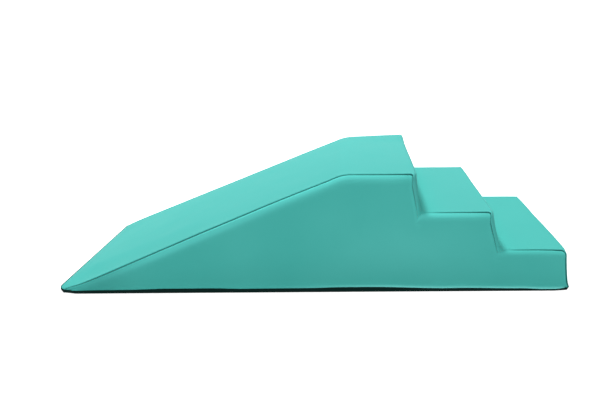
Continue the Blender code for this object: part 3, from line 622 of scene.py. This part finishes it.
def panel_marks(seam_distances, x, z, rows=slice(None)):
    """Painted marks of a side panel: shade in its seam, a highlight on its broad roll over the edge, and
    broad painted shade and light.

    The painted shade near the toe goes with the seam's painted shade, and the painted light in the middle
    with the painted highlight on the hem's lip.
    """
    marks = seam_marks(seam_distances, PANEL_SHADE_WIDTH, rows)
    # Painted highlight on the broad roll over the edge
    roll = ROLL_HIGHLIGHT_SHARE * ROLL_HIGHLIGHT_STRENGTHS[rows] * bell(seam_distances - ROLL_PLACE, ROLL_REACH)
    marks[:, HIGHLIGHT] = np.clip(marks[:, HIGHLIGHT] + roll, 0, 1)
    # Painted shade near the toe and painted light in the middle of the side
    marks[:, SHADE] += TOE_SHADE * bell(x - TOE_SHADE_X, TOE_SHADE_REACH)
    middle_x, middle_z = MIDDLE_LIGHT_PLACE
    reach_x, reach_z = MIDDLE_LIGHT_REACH
    marks[:, LIGHT] += MIDDLE_LIGHT * bell(x - middle_x, reach_x) * bell(z - middle_z, reach_z)
    return marks


def new_object(name, vertices, faces, material, marks=None):
    """An object in the scene with a material and, on vinyl, its marks of painted light and shade."""
    mesh = bpy.data.meshes.new(name)
    mesh.from_pydata([tuple(map(float, vertex)) for vertex in vertices], [], faces)
    if marks is not None:
        for column, attribute_name in enumerate(MARKS):
            attribute = mesh.attributes.new(attribute_name, "FLOAT", "POINT")
            attribute.data.foreach_set("value", np.ascontiguousarray(marks[:, column], dtype=np.float32))
    mesh.update()
    mesh.shade_smooth()
    mesh.materials.append(material)
    made = bpy.data.objects.new(name, mesh)
    bpy.context.scene.collection.objects.link(made)
    return made


def thicken(piece, thickness):
    """Gives a sheet its thickness, inward."""
    solid = piece.modifiers.new("thickness", "SOLIDIFY")
    solid.thickness = thickness
    solid.offset = -1


def grid_faces(rows, columns, flip=False):
    """Faces between the points of a grid, row by row."""
    faces = []
    for row in range(rows - 1):
        for column in range(columns - 1):
            a = row * columns + column
            face = (a, a + 1, a + columns + 1, a + columns)
            faces.append(face[::-1] if flip else face)
    return faces


def edge_places(turn_lengths, sign):
    """Places and normals on the top and the turned edge at a length past the edge's start, for each row."""
    angles = np.array([
        np.interp(length, lengths, TURN_SAMPLES) for length, lengths in zip(turn_lengths, TURN_LENGTHS)
    ])
    across, down = np.sin(angles), np.abs(np.cos(angles))
    y = EDGE_STARTS + np.minimum(turn_lengths, 0) + WIDTHS * across ** TURN_POWER
    flat = OUTER + (INNER - OUTER) * (1 - down ** TURN_POWER)[:, None]
    places = np.stack([flat[:, 0], sign * y, flat[:, 1]], axis=1)
    out_share = WIDTHS * down ** (2 - TURN_POWER)
    side_share = DROPS * across ** (2 - TURN_POWER)
    out = np.stack([NORMALS[:, 0] * out_share, sign * side_share, NORMALS[:, 1] * out_share], axis=1)
    return places, out / np.linalg.norm(out, axis=1)[:, None]


def lifted(places, out, seam_distances, crown=0.0):
    """Places moved out by the seam's fold, the crown and the unevenness, then settled."""
    lift = groove(seam_distances) + unevenness(places, seam_distances) + crown
    return settled(places + out * (lift * ENDS)[:, None])


def top_strip(material):
    """The strip over toe, ramp, deck, risers and treads."""
    halves = EDGE_STARTS + SEAM_LENGTHS - SEAM_GAP / 2
    columns = []
    for sign in (-1, 1):
        side = []
        for step in STRIP_STEPS:
            places, out = edge_places(SEAM_LENGTHS - SEAM_GAP / 2 - step, sign)
            crown = TOP_CROWN * (1 - (1 - step / halves) ** 2)
            side.append(lifted(places, out, np.full(ROWS, step), crown))
        columns.append(side)
    near, far = columns
    inner = halves - STRIP_STEPS[-1]
    middle = []
    for share in np.linspace(-1, 1, MIDDLE_COLUMNS)[1:-1]:
        places = np.stack([OUTER[:, 0], inner * share, OUTER[:, 1]], axis=1)
        out = np.stack([NORMALS[:, 0], np.zeros(ROWS), NORMALS[:, 1]], axis=1)
        distances = halves - np.abs(inner * share)
        crown = TOP_CROWN * (1 - (1 - distances / halves) ** 2)
        middle.append(lifted(places, out, distances, crown))
    grid = np.stack(near + middle + far[::-1], axis=1)
    shade_widths = by_turn(SHADE_WIDTHS, SEAM_TURNS)
    step_marks = [seam_marks(np.full(ROWS, step), shade_widths) for step in STRIP_STEPS]
    blank = [np.zeros((ROWS, len(MARKS)))] * len(middle)
    marks = np.stack(step_marks + blank + step_marks[::-1], axis=1)
    # Painted sheen on the top, less of it in the valleys where shade falls
    painted_sheen = looked_up(SHEEN_PLACES, OUTER[:, 0]) * (1 - corner_weights(VALLEYS, SHEEN_VALLEY_REACH))
    marks[:, :, SHEEN] = painted_sheen[:, None]
    piece = new_object(
        "climber_top_strip", grid.reshape(-1, 3), grid_faces(ROWS, grid.shape[1], True), material,
        marks=marks.reshape(-1, len(MARKS)))
    thicken(piece, VINYL)
    return piece


def line_distances(points, line, closed=False):
    """Distance from each point to a line through points, or to the loop that it closes to."""
    best = np.full(len(points), LENGTH)
    ends = np.roll(line, -1, axis=0) if closed else line[1:]
    for a, b in zip(line, ends):
        along = b - a
        share = np.clip(((points - a) @ along) / max(along @ along, SMALLEST_LENGTH_SQUARED), 0, 1)
        nearest = a + share[:, None] * along
        best = np.minimum(best, np.linalg.norm(points - nearest, axis=1))
    return best


def inside_loop(points, loop):
    """Whether each point lies inside a closed loop."""
    crossings = np.zeros(len(points), dtype=int)
    for (ax, ay), (bx, by) in zip(loop, np.roll(loop, -1, axis=0)):
        if ay == by:
            continue
        spans = (ay > points[:, 1]) != (by > points[:, 1])
        x = ax + (points[:, 1] - ay) / (by - ay) * (bx - ax)
        crossings += spans & (points[:, 0] < x)
    return crossings % 2 == 1


def slot_loop():
    """The zip's opening in the far side panel."""
    count = round(ZIP_LENGTH / FLAT_STEP)
    shares = np.arange(count + 1) / count
    start = TOE_X + ZIP_START
    sides = (
        (start + ZIP_LENGTH * shares, ZIP_HEIGHT - SLOT_HALF),
        (start + ZIP_LENGTH * (1 - shares), ZIP_HEIGHT + SLOT_HALF),
    )
    return np.vstack([np.stack([xs, np.full(count + 1, z)], axis=1) for xs, z in sides])


def inner_points(turned, hem, slot):
    """Points inside a side panel's flat: rows along the hem and staggered cells above them."""
    loop = np.vstack([turned, hem])
    rows = []
    for rise in HEM_FALL * np.array(HEM_RINGS):
        row = hem + np.array([0, rise])
        keep = inside_loop(row, loop) & (line_distances(row, turned) > max(rise, FLAT_STEP / 3))
        rows.append(row[keep])
    columns = np.arange(TOE_X, END_X, FLAT_STEP)
    levels = np.arange(HEM_HEIGHT + FLAT_STEP * FIRST_LEVEL, DECK, FLAT_STEP)
    cells = np.array([
        (x + (index % 2) * FLAT_STEP / 2, z) for index, z in enumerate(levels) for x in columns])
    clearance = FLAT_STEP * CELL_CLEARANCE
    keep = inside_loop(cells, loop) & (line_distances(cells, loop, True) > clearance)
    if len(slot):
        keep &= line_distances(cells, slot, True) > clearance
        keep &= ~inside_loop(cells, slot)
    return np.vstack(rows + [cells[keep]])


def loop_edges(first, count):
    """Edges of a closed loop of points that starts at an index."""
    return [(first + index, first + (index + 1) % count) for index in range(count)]


def side_layout(slot):
    """Places of a side panel's flat, its triangles, and the counts of its turned edge and its loop."""
    turned = outline(1.0, FLAT_RINGS[-1])
    first_x, last_x = turned[0][0], turned[-1][0]
    hem_count = round((last_x - first_x) / FLAT_STEP)
    xs = last_x + (first_x - last_x) * np.arange(1, hem_count) / hem_count
    hem = np.stack([xs, hem_height(xs)], axis=1)
    loop = np.vstack([turned, hem])
    places = np.vstack([loop, slot, inner_points(turned, hem, slot)])
    edges = loop_edges(0, len(loop)) + loop_edges(len(loop), len(slot))
    result = delaunay_2d_cdt([Vector(place) for place in places], edges, [], 0, MERGE_DISTANCE)
    found = np.array(result[0])
    faces = np.array(result[2])
    origins = np.array([origin[0] for origin in result[3]])
    a, b, c = found[faces[:, 0]], found[faces[:, 1]], found[faces[:, 2]]
    ab, ac = b - a, c - a
    area = np.abs(ab[:, 0] * ac[:, 1] - ab[:, 1] * ac[:, 0])
    middle = (a + b + c) / 3
    keep = (area > SMALLEST_AREA) & inside_loop(middle, loop)
    if len(slot):
        keep &= ~inside_loop(middle, slot)
    return places, origins[faces[keep]], len(turned), len(loop)


def hem_flare(x):
    """How far the hem stands out at a place along the side, fading at both ends."""
    ends = np.minimum(x - TOE_X, END_X - x)
    return HEM_FLARE * np.clip(ends / HEM_FADE, 0, 1)


def side_rings(sign):
    """Rings of a side panel from its seam over the turned edge onto the flat, with their marks."""
    sections = []
    for step in range(TURN_RINGS + 1):
        beyond = BEYOND_SEAM * (step / TURN_RINGS) ** TURN_RING_POWER
        sections.append((*edge_places(SEAM_LENGTHS + SEAM_GAP / 2 + beyond, sign), beyond))
    sideways = np.tile([0.0, sign, 0.0], (ROWS, 1))
    for depth in FLAT_RINGS[:-1]:
        flat = outline(1.0, depth)
        ring = np.stack([flat[:, 0], np.full(ROWS, sign * SIDE_Y), flat[:, 1]], axis=1)
        sections.append((ring, sideways, BEYOND_SEAM + depth))
    rings = [lifted(ring, out, beyond, creases(beyond)) for ring, out, beyond in sections]
    marks = [panel_marks(beyond, ring[:, 0], ring[:, 2]) for ring, _, beyond in sections]
    return rings, marks


def side_flat(sign, slot, places, turned_count, loop):
    """Points of a side panel's flat, pushed out by its crown and its hem, with their marks of painted light
    and shade.
    """
    flat = np.stack([places[:, 0], np.full(len(places), sign * SIDE_Y), places[:, 1]], axis=1)
    turned = slice(turned_count)
    nearest = np.argmin(np.abs(places[:, :1] - OUTER[None, :, 0]), axis=1)
    seam_distances = line_distances(places, loop[turned]) + FLAT_RINGS[-1] + BEYOND_SEAM[nearest]
    edge_distances = BEYOND_SEAM + FLAT_RINGS[-1]
    rise = unevenness(flat, seam_distances) + groove(seam_distances, nearest)
    rise[turned] = (groove(edge_distances) + unevenness(flat[turned], edge_distances)) * ENDS
    crown_end = CROWN_START + CROWN_REACH
    rise += SIDE_CROWN * eased(line_distances(places, loop, True), CROWN_START, crown_end)
    over_hem = above_hem(places[:, 1], places[:, 0])
    rise += hem_flare(places[:, 0]) * np.exp(-over_hem / HEM_FALL)
    if len(slot):
        near_slot = bell(line_distances(places, slot, True), SLOT_REACH)
        rise = rise * (1 - near_slot) - SLOT_SINK * near_slot
    flat[:, 1] += sign * rise
    marks = panel_marks(seam_distances, places[:, 0], places[:, 1], nearest)
    # Painted highlight on the hem's lip just above the hem
    marks[:, LIGHT] += looked_up(LIP_HIGHLIGHT_PLACES, places[:, 0]) * bell(over_hem, LIP_HIGHLIGHT_HEIGHT)
    return settled(flat), marks


def side_panel(name, sign, slot, material):
    """A side panel: the edge turned over the foam up to the seam, the flat and the hem."""
    places, triangles, turned_count, loop_count = side_layout(slot)
    rings, marks = side_rings(sign)
    flat, flat_marks = side_flat(sign, slot, places, turned_count, places[:loop_count])
    offset = len(rings) * turned_count
    faces = grid_faces(len(rings) + 1, turned_count, sign > 0)
    faces += [tuple(int(offset + corner) for corner in triangle) for triangle in triangles]
    piece = new_object(
        name, np.vstack(rings + [flat]), faces, material, marks=np.vstack(marks + [flat_marks]))
    same_way(piece)
    thicken(piece, VINYL)
    return piece


def same_way(piece):
    """Turns all of a sheet's faces to face outward, away from the middle of the object."""
    bm = bmesh.new()
    bm.from_mesh(piece.data)
    bmesh.ops.recalc_face_normals(bm, faces=bm.faces)
    total = sum(face.normal.y * face.calc_area() for face in bm.faces)
    side = 1 if sum(vertex.co.y for vertex in bm.verts) > 0 else -1
    if total * side < 0:
        bmesh.ops.reverse_faces(bm, faces=bm.faces)
    bm.to_mesh(piece.data)
    bm.free()


def base_tray(material):
    """The base: a sheet under the climber with its rim turned up to the hem all round."""
    sides = np.arange(TOE_X + WIDTHS[0], END_X - WIDTHS[-1], ROW_STEP)
    toe_y, end_y = EDGE_STARTS[0], EDGE_STARTS[-1]
    near = [(x, -SIDE_Y - hem_flare(x) + VINYL, 0.0, -1.0) for x in sides]
    end = [(END_X - VINYL, y, 1.0, 0.0) for y in np.linspace(-end_y, end_y, BASE_END_COUNT)]
    far = [(x, SIDE_Y + hem_flare(x) - VINYL, 0.0, 1.0) for x in sides[::-1]]
    toe = [(TOE_X + VINYL, y, -1.0, 0.0) for y in np.linspace(toe_y, -toe_y, BASE_END_COUNT)]
    loop = np.array(near + end + far + toe)
    past_toe = eased(loop[:, 0], *(TOE_X + distance for distance in TOE_ROWS_ZONE))
    vertices = []
    for (side_outward, rise), toe_outward in zip(BASE_ROWS, TOE_ROWS):
        outward = toe_outward + (side_outward - toe_outward) * past_toe
        ring = np.stack([
            loop[:, 0] + loop[:, 2] * outward, loop[:, 1] + loop[:, 3] * outward,
            hem_height(loop[:, 0]) * rise], axis=1)
        ring[:, 0] += toe_rounding(ring[:, 0], ring[:, 1])
        vertices.append(ring)
    count = len(loop)
    last = len(BASE_ROWS) - 1
    faces = []
    for row in range(last):
        for a, b in loop_edges(row * count, count):
            faces.append((a, a + count, b + count, b))
    faces.append(tuple(last * count + index for index in reversed(range(count))))
    piece = new_object("climber_base", np.vstack(vertices), faces, material)
    thicken(piece, BASE_FABRIC)
    return piece


def repeated(name, shape, shape_faces, places, material):
    """One mesh of many small copies of a shape, one at each place."""
    shape = np.array(shape)
    vertices = (np.array(places)[:, None, :] + shape[None, :, :]).reshape(-1, 3)
    faces = []
    for first in range(0, len(vertices), len(shape)):
        faces += [tuple(first + index for index in face) for face in shape_faces]
    return new_object(name, vertices, faces, material)


def coil_teeth(word, sign, material):
    """A row of the zip's coil: a rounded loop of nylon at every pitch, in the room of its bar."""
    (x_low, y_low, z_low), (x_high, y_high, z_high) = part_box("zip_coil_" + word)
    head, root = (z_low, z_high) if sign > 0 else (z_high, z_low)
    half = COIL_PITCH * COIL_FILL / 2
    middle_y = (y_low + y_high) / 2
    bulge = y_high - middle_y
    shape, shape_faces = [], []
    for share, wide, high in COIL_RINGS:
        for angle in np.arange(COIL_SIDES) * 2 * math.pi / COIL_SIDES:
            x, y = half * wide * math.cos(angle), bulge * high * math.sin(angle)
            shape.append((x, y, (root - head) * share))
    last = (len(COIL_RINGS) - 1) * COIL_SIDES
    for first in range(0, last, COIL_SIDES):
        for a, b in loop_edges(first, COIL_SIDES):
            shape_faces.append((a, b, b + COIL_SIDES, a + COIL_SIDES)[::sign])
    shape_faces.append(tuple(range(COIL_SIDES))[::-sign])
    shape_faces.append(tuple(range(last, last + COIL_SIDES))[::sign])
    count = int((x_high - x_low - COIL_PITCH) / COIL_PITCH)
    shift = COIL_PITCH * (0.5 if sign > 0 else 1.0)
    places = [(x_low + shift + COIL_PITCH * index, middle_y, head) for index in range(count)]
    return repeated("climber_coil_" + word, shape, shape_faces, places, material)


def slot_stitches(material):
    """The row of stitches round the zip's opening, which hold its tapes to the side panel."""
    line = SLOT_HALF + STITCH_MARGIN
    start, end = TOE_X + ZIP_START, TOE_X + ZIP_START + ZIP_LENGTH
    half, thick = STITCH_LENGTH / 2, STITCH_THICKNESS / 2
    shape_faces = [
        (0, 1, 2), (0, 2, 3), (0, 3, 4), (0, 4, 1), (5, 2, 1), (5, 3, 2), (5, 4, 3), (5, 1, 4)]
    along = [
        (-half, 0, 0), (0, thick, 0), (0, 0, thick), (0, -thick, 0), (0, 0, -thick), (half, 0, 0)]
    upright = [(z, y, x) for x, y, z in along]
    xs = np.arange(start - STITCH_MARGIN + half, end + STITCH_MARGIN, STITCH_PITCH)
    zs = np.arange(ZIP_HEIGHT - line + half, ZIP_HEIGHT + line, STITCH_PITCH)
    y = SIDE_Y + STITCH_LIFT
    long_places = [(x, y, ZIP_HEIGHT + sign * line) for sign in (-1, 1) for x in xs]
    end_places = [(x, y, z) for x in (start - STITCH_MARGIN, end + STITCH_MARGIN) for z in zs]
    return (
        repeated("climber_stitches_long", along, shape_faces, long_places, material),
        repeated("climber_stitches_ends", upright, shape_faces, end_places, material),
    )


def feed(tree, node, inputs):
    """Sets a node's inputs: links those that are other nodes' outputs, and gives the rest a value."""
    for socket, value in inputs.items():
        if isinstance(value, bpy.types.NodeSocket):
            tree.links.new(value, node.inputs[socket])
        else:
            node.inputs[socket].default_value = value
    return node


def add_node(tree, kind, inputs):
    """A new node of a kind with its inputs."""
    return feed(tree, tree.nodes.new("ShaderNode" + kind), inputs)


def new_material(name, colour, roughness, metallic=0.0):
    """A material, its node tree and its shader."""
    made = bpy.data.materials.new(name)
    made.use_nodes = True
    tree = made.node_tree
    shader = tree.nodes["Principled BSDF"]
    feed(tree, shader, {"Base Color": (*colour, 1), "Roughness": roughness, "Metallic": metallic})
    return made, tree, shader


def object_place(tree):
    """Coordinates of the surface on the object."""
    return add_node(tree, "TexCoord", {}).outputs["Object"]


def noise_value(tree, place, scale, detail):
    """Noise from 0 to 1 over the surface."""
    node = add_node(tree, "TexNoise", {"Vector": place, "Scale": scale, "Detail": detail})
    return node.outputs["Fac"]


def cell_value(tree, place, scale):
    """Distance to the middle of the nearest cell."""
    return add_node(tree, "TexVoronoi", {"Vector": place, "Scale": scale}).outputs["Distance"]


def wave_value(tree, place, direction, scale, distortion=0.0):
    """Bands across one direction."""
    node = add_node(tree, "TexWave", {"Vector": place, "Scale": scale, "Distortion": distortion})
    node.bands_direction = direction
    return node.outputs["Fac"]


def math_value(tree, operation, first, second):
    """Two values joined by an operation."""
    node = add_node(tree, "Math", {0: first, 1: second})
    node.operation = operation
    return node.outputs["Value"]


def spread_value(tree, value, low, high):
    """A value from 0 to 1, spread between two numbers."""
    node = add_node(tree, "MapRange", {"Value": value, "To Min": low, "To Max": high})
    return node.outputs["Result"]


def ramp_colour(tree, value, start, first, end, second):
    """A colour that goes from a first one to a second as a value goes from a start to an end."""
    node = add_node(tree, "ValToRGB", {"Fac": value})
    for stop, place, colour in zip(node.color_ramp.elements, (start, end), (first, second)):
        stop.position = place
        stop.color = (*colour, 1)
    return node.outputs["Color"]


def mix_colour(tree, factor, before, after):
    """One colour over another by a factor."""
    node = tree.nodes.new("ShaderNodeMix")
    node.data_type = "RGBA"
    return feed(tree, node, {"Factor": factor, "A": before, "B": after}).outputs["Result"]


def marked_colour(tree, mark, before, colour):
    """A colour laid over another one by a mark of the mesh, up to the colour's own strength."""
    node = add_node(tree, "Attribute", {})
    node.attribute_name = MARKS[mark]
    factor = math_value(tree, "MULTIPLY", node.outputs["Fac"], colour[3])
    return mix_colour(tree, factor, before, (*colour[:3], 1))


def bump_normal(tree, height, strength, distance, before=None):
    """A normal bent by a height, over another bump if there is one."""
    inputs = {"Height": height, "Strength": strength, "Distance": distance}
    if before is not None:
        inputs["Normal"] = before
    return add_node(tree, "Bump", inputs).outputs["Normal"]


def vinyl_material():
    """Soft coated vinyl: fine leather grain, a dull satin finish, faint colour variation and painted light
    and shade.
    """
    made, tree, shader = new_material("vinyl", VINYL_COLOUR, 0.42)
    place = object_place(tree)
    shade = noise_value(tree, place, scale=2.6, detail=3.0)
    colour = ramp_colour(tree, shade, 0.35, VINYL_COLOURS[0], 0.65, VINYL_COLOURS[1])
    # Painted sheen, painted highlights and painted light, then painted shade in the seams and near the toe
    layers = ((SHEEN, PAINTED_SHEEN_COLOUR), (HIGHLIGHT, PAINTED_HIGHLIGHT_COLOUR), (LIGHT, PAINTED_LIGHT_COLOUR), (SHADE, PAINTED_SHADE_COLOUR))
    for mark, mark_colour in layers:
        colour = marked_colour(tree, mark, colour, mark_colour)
    rough = noise_value(tree, place, scale=9.0, detail=4.0)
    cells = cell_value(tree, place, scale=620.0)
    fine = noise_value(tree, place, scale=300.0, detail=3.0)
    grain = bump_normal(tree, cells, strength=0.18, distance=0.0004)
    normal = bump_normal(tree, fine, strength=0.12, distance=0.0005, before=grain)
    feed(tree, shader, {
        "Base Color": colour, "Roughness": spread_value(tree, rough, low=0.36, high=0.50),
        "Normal": normal, "Specular IOR Level": 0.006})
    return made


def base_material():
    """Near-black anti-slip fabric with a coarse surface."""
    made, tree, shader = new_material("base_fabric", BASE_COLOUR, 0.75)
    fabric = noise_value(tree, object_place(tree), scale=900.0, detail=2.0)
    feed(tree, shader, {
        "Normal": bump_normal(tree, fabric, strength=0.3, distance=0.0005), "Specular IOR Level": 0.05})
    return made


def tape_material():
    """Woven tape: rows of yarns that cross, with colour variation between yarns."""
    made, tree, shader = new_material("zip_tape", TAPE_COLOURS[0], 0.8)
    place = object_place(tree)
    rows = [wave_value(tree, place, direction, 1 / YARN_PITCH, distortion=0.6) for direction in ("X", "Z")]
    weave = math_value(tree, "MULTIPLY", *rows)
    feed(tree, shader, {
        "Base Color": ramp_colour(tree, weave, 0.0, TAPE_COLOURS[0], 0.8, TAPE_COLOURS[1]),
        "Normal": bump_normal(tree, weave, strength=0.5, distance=0.0003), "Specular IOR Level": 0.2})
    return made


def coil_material():
    """Nylon coil: smooth monofilament with a soft gloss and slight colour variation."""
    made, tree, shader = new_material("zip_coil", COIL_COLOUR, 0.35)
    place = object_place(tree)
    shade = noise_value(tree, place, scale=60.0, detail=2.0)
    fine = noise_value(tree, place, scale=2500.0, detail=2.0)
    feed(tree, shader, {
        "Base Color": ramp_colour(tree, shade, 0.3, COIL_COLOURS[0], 0.7, COIL_COLOURS[1]),
        "Normal": bump_normal(tree, fine, strength=0.15, distance=0.0001)})
    return made


def metal_material():
    """Dark paint over die-cast metal, rubbed through to the bare metal along the edges."""
    made, tree, shader = new_material("zip_metal", PAINT_COLOUR, 0.35, 0.2)
    rounded = add_node(tree, "Bevel", {"Radius": WORN_EDGE}).outputs["Normal"]
    plain = add_node(tree, "NewGeometry", {}).outputs["Normal"]
    bend = add_node(tree, "VectorMath", {0: rounded, 1: plain})
    bend.operation = "DISTANCE"
    scratch = noise_value(tree, object_place(tree), scale=700.0, detail=4.0)
    worn = math_value(tree, "MULTIPLY", bend.outputs["Value"], scratch)
    bare = ramp_colour(tree, worn, 0.18, (0, 0, 0), 0.34, (1, 1, 1))
    feed(tree, shader, {
        "Base Color": mix_colour(tree, bare, (*PAINT_COLOUR, 1), (*BARE_METAL_COLOUR, 1)),
        "Metallic": bare, "Roughness": spread_value(tree, scratch, low=0.28, high=0.45),
        "Normal": bump_normal(tree, scratch, strength=0.1, distance=0.0001)})
    return made


def foam_material():
    """Open-cell foam: yellowish cream with small pores and a faint blotchy tone."""
    made, tree, shader = new_material("foam", FOAM_COLOUR, 0.95)
    place = object_place(tree)
    shade = noise_value(tree, place, scale=14.0, detail=4.0)
    pores = cell_value(tree, place, scale=450.0)
    feed(tree, shader, {
        "Base Color": ramp_colour(tree, shade, 0.35, FOAM_COLOURS[0], 0.65, FOAM_COLOURS[1]),
        "Normal": bump_normal(tree, pores, strength=0.6, distance=0.0008),
        "Specular IOR Level": 0.1})
    return made


def thread_material():
    """Twisted polyester thread."""
    made, tree, shader = new_material("thread", THREAD_COLOUR, 0.6)
    twist = wave_value(tree, object_place(tree), "DIAGONAL", scale=900.0)
    feed(tree, shader, {
        "Base Color": ramp_colour(tree, twist, 0.2, THREAD_COLOURS[0], 0.8, THREAD_COLOURS[1]),
        "Normal": bump_normal(tree, twist, strength=0.4, distance=0.0002)})
    return made


def dress_nodes(nodes, material, edge=0.0):
    """Gives CAD nodes their material, and rounded edges if they have sharp ones."""
    for node in nodes:
        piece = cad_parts[node]
        piece.data.materials.clear()
        piece.data.materials.append(material)
        if edge:
            bevel = piece.modifiers.new("rounded", "BEVEL")
            bevel.width = edge
            bevel.segments = 2
            bevel.limit_method = "ANGLE"
            bevel.angle_limit = math.radians(METAL_EDGE_ANGLE)


def seen_mix(tree, plain, seen):
    """A shader that is plain for light, and seen by the camera and in reflections."""
    path = add_node(tree, "LightPath", {})
    factor = path.outputs["Is Camera Ray"]
    for ray in ("Is Glossy Ray", "Is Transmission Ray"):
        factor = math_value(tree, "MAXIMUM", factor, path.outputs[ray])
    return add_node(tree, "MixShader", {"Fac": factor, 1: plain, 2: seen}).outputs["Shader"]


def white_floor():
    """White floor. It shows the camera only a faint contact shadow."""
    bpy.ops.mesh.primitive_plane_add(size=FLOOR_SIZE)
    floor = bpy.context.object
    floor.name = "floor"
    made, tree, shader = new_material("floor_white", FLOOR_COLOUR, 0.9)
    feed(tree, shader, {"Specular IOR Level": 0.0})
    glow = add_node(tree, "Emission", {"Strength": FLOOR_GLOW}).outputs["Emission"]
    seen = add_node(tree, "AddShader", {0: shader.outputs["BSDF"], 1: glow}).outputs["Shader"]
    dull = add_node(tree, "BsdfDiffuse", {"Color": (FLOOR_BOUNCE, FLOOR_BOUNCE, FLOOR_BOUNCE, 1)})
    surface = seen_mix(tree, dull.outputs["BSDF"], seen)
    feed(tree, tree.nodes["Material Output"], {"Surface": surface})
    floor.data.materials.append(made)


def white_surroundings():
    """White world, seen at full strength and much weaker as light."""
    world = bpy.data.worlds.new("studio")
    bpy.context.scene.world = world
    world.use_nodes = True
    tree = world.node_tree
    white = (1, 1, 1, 1)
    plain = feed(tree, tree.nodes["Background"], {"Color": white, "Strength": WORLD_STRENGTH})
    seen = add_node(tree, "Background", {"Color": white, "Strength": SEEN_WORLD_STRENGTH})
    surface = seen_mix(tree, plain.outputs["Background"], seen.outputs["Background"])
    feed(tree, tree.nodes["World Output"], {"Surface": surface})


def area_lamp(name, place, target, width, height, power):
    """A soft rectangular lamp that faces a target."""
    lamp = bpy.data.lights.new(name, "AREA")
    lamp.shape = "RECTANGLE"
    lamp.size = width
    lamp.size_y = height
    lamp.energy = power
    made = bpy.data.objects.new(name, lamp)
    made.location = place
    made.rotation_euler = (Vector(target) - Vector(place)).to_track_quat("-Z", "Y").to_euler()
    bpy.context.scene.collection.objects.link(made)


def camera():
    """The photograph's camera: a 31 mm lens on a 36 mm sensor, shifted a little to one side."""
    data = bpy.data.cameras.new("camera")
    data.sensor_width = SENSOR_WIDTH
    data.lens = FOCAL_PIXELS / PICTURE_WIDTH * SENSOR_WIDTH
    data.shift_x = (PICTURE_WIDTH / 2 - CENTRE_PIXEL_X) / PICTURE_WIDTH
    made = bpy.data.objects.new("camera", data)
    turned = Matrix.Rotation(CAMERA_YAW, 4, "Z") @ Matrix.Rotation(math.pi / 2 - CAMERA_PITCH, 4, "X")
    rolled = turned @ Matrix.Rotation(CAMERA_ROLL, 4, "Z")
    made.matrix_world = Matrix.Translation(Vector(CAMERA_PLACE)) @ rolled
    bpy.context.scene.collection.objects.link(made)
    bpy.context.scene.camera = made


def dress_cover():
    """Puts the cover's pieces in place of its CAD solids."""
    vinyl = vinyl_material()
    no_slot = np.zeros((0, 2))
    pieces = (
        (top_strip(vinyl), "cover_top_strip", "vinyl"),
        (side_panel("climber_near_side", -1, no_slot, vinyl), "cover_near_side", "vinyl"),
        (side_panel("climber_far_side", 1, slot_loop(), vinyl), "cover_far_side", "vinyl"),
        (base_tray(base_material()), "cover_base", "base_fabric"),
    )
    for piece, node, slot_name in pieces:
        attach(piece, "climber")
        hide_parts(node)


def dress_zip():
    """Puts the coil's teeth in place of its bars and adds the stitches round the opening."""
    coil = coil_material()
    for word, sign in (("upper", 1), ("lower", -1)):
        teeth = coil_teeth(word, sign, coil)
        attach(teeth, "climber")
        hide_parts("zip_coil_" + word)
    for stitches in slot_stitches(thread_material()):
        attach(stitches, "climber")
    dress_nodes(("zip_tape_upper", "zip_tape_lower"), tape_material())
    metal_nodes = ("zip_bottom_stop", "zip_top_stop", "zip_slider", "zip_pull")
    dress_nodes(metal_nodes, metal_material(), METAL_EDGE)


dress_cover()
dress_zip()
dress_nodes(("core_lower_slab", "core_middle_slab", "core_upper_slab"), foam_material())
white_floor()
white_surroundings()
for lamp in LAMPS:
    area_lamp(*lamp)
camera()
bpy.context.scene.view_settings.view_transform = "Standard"
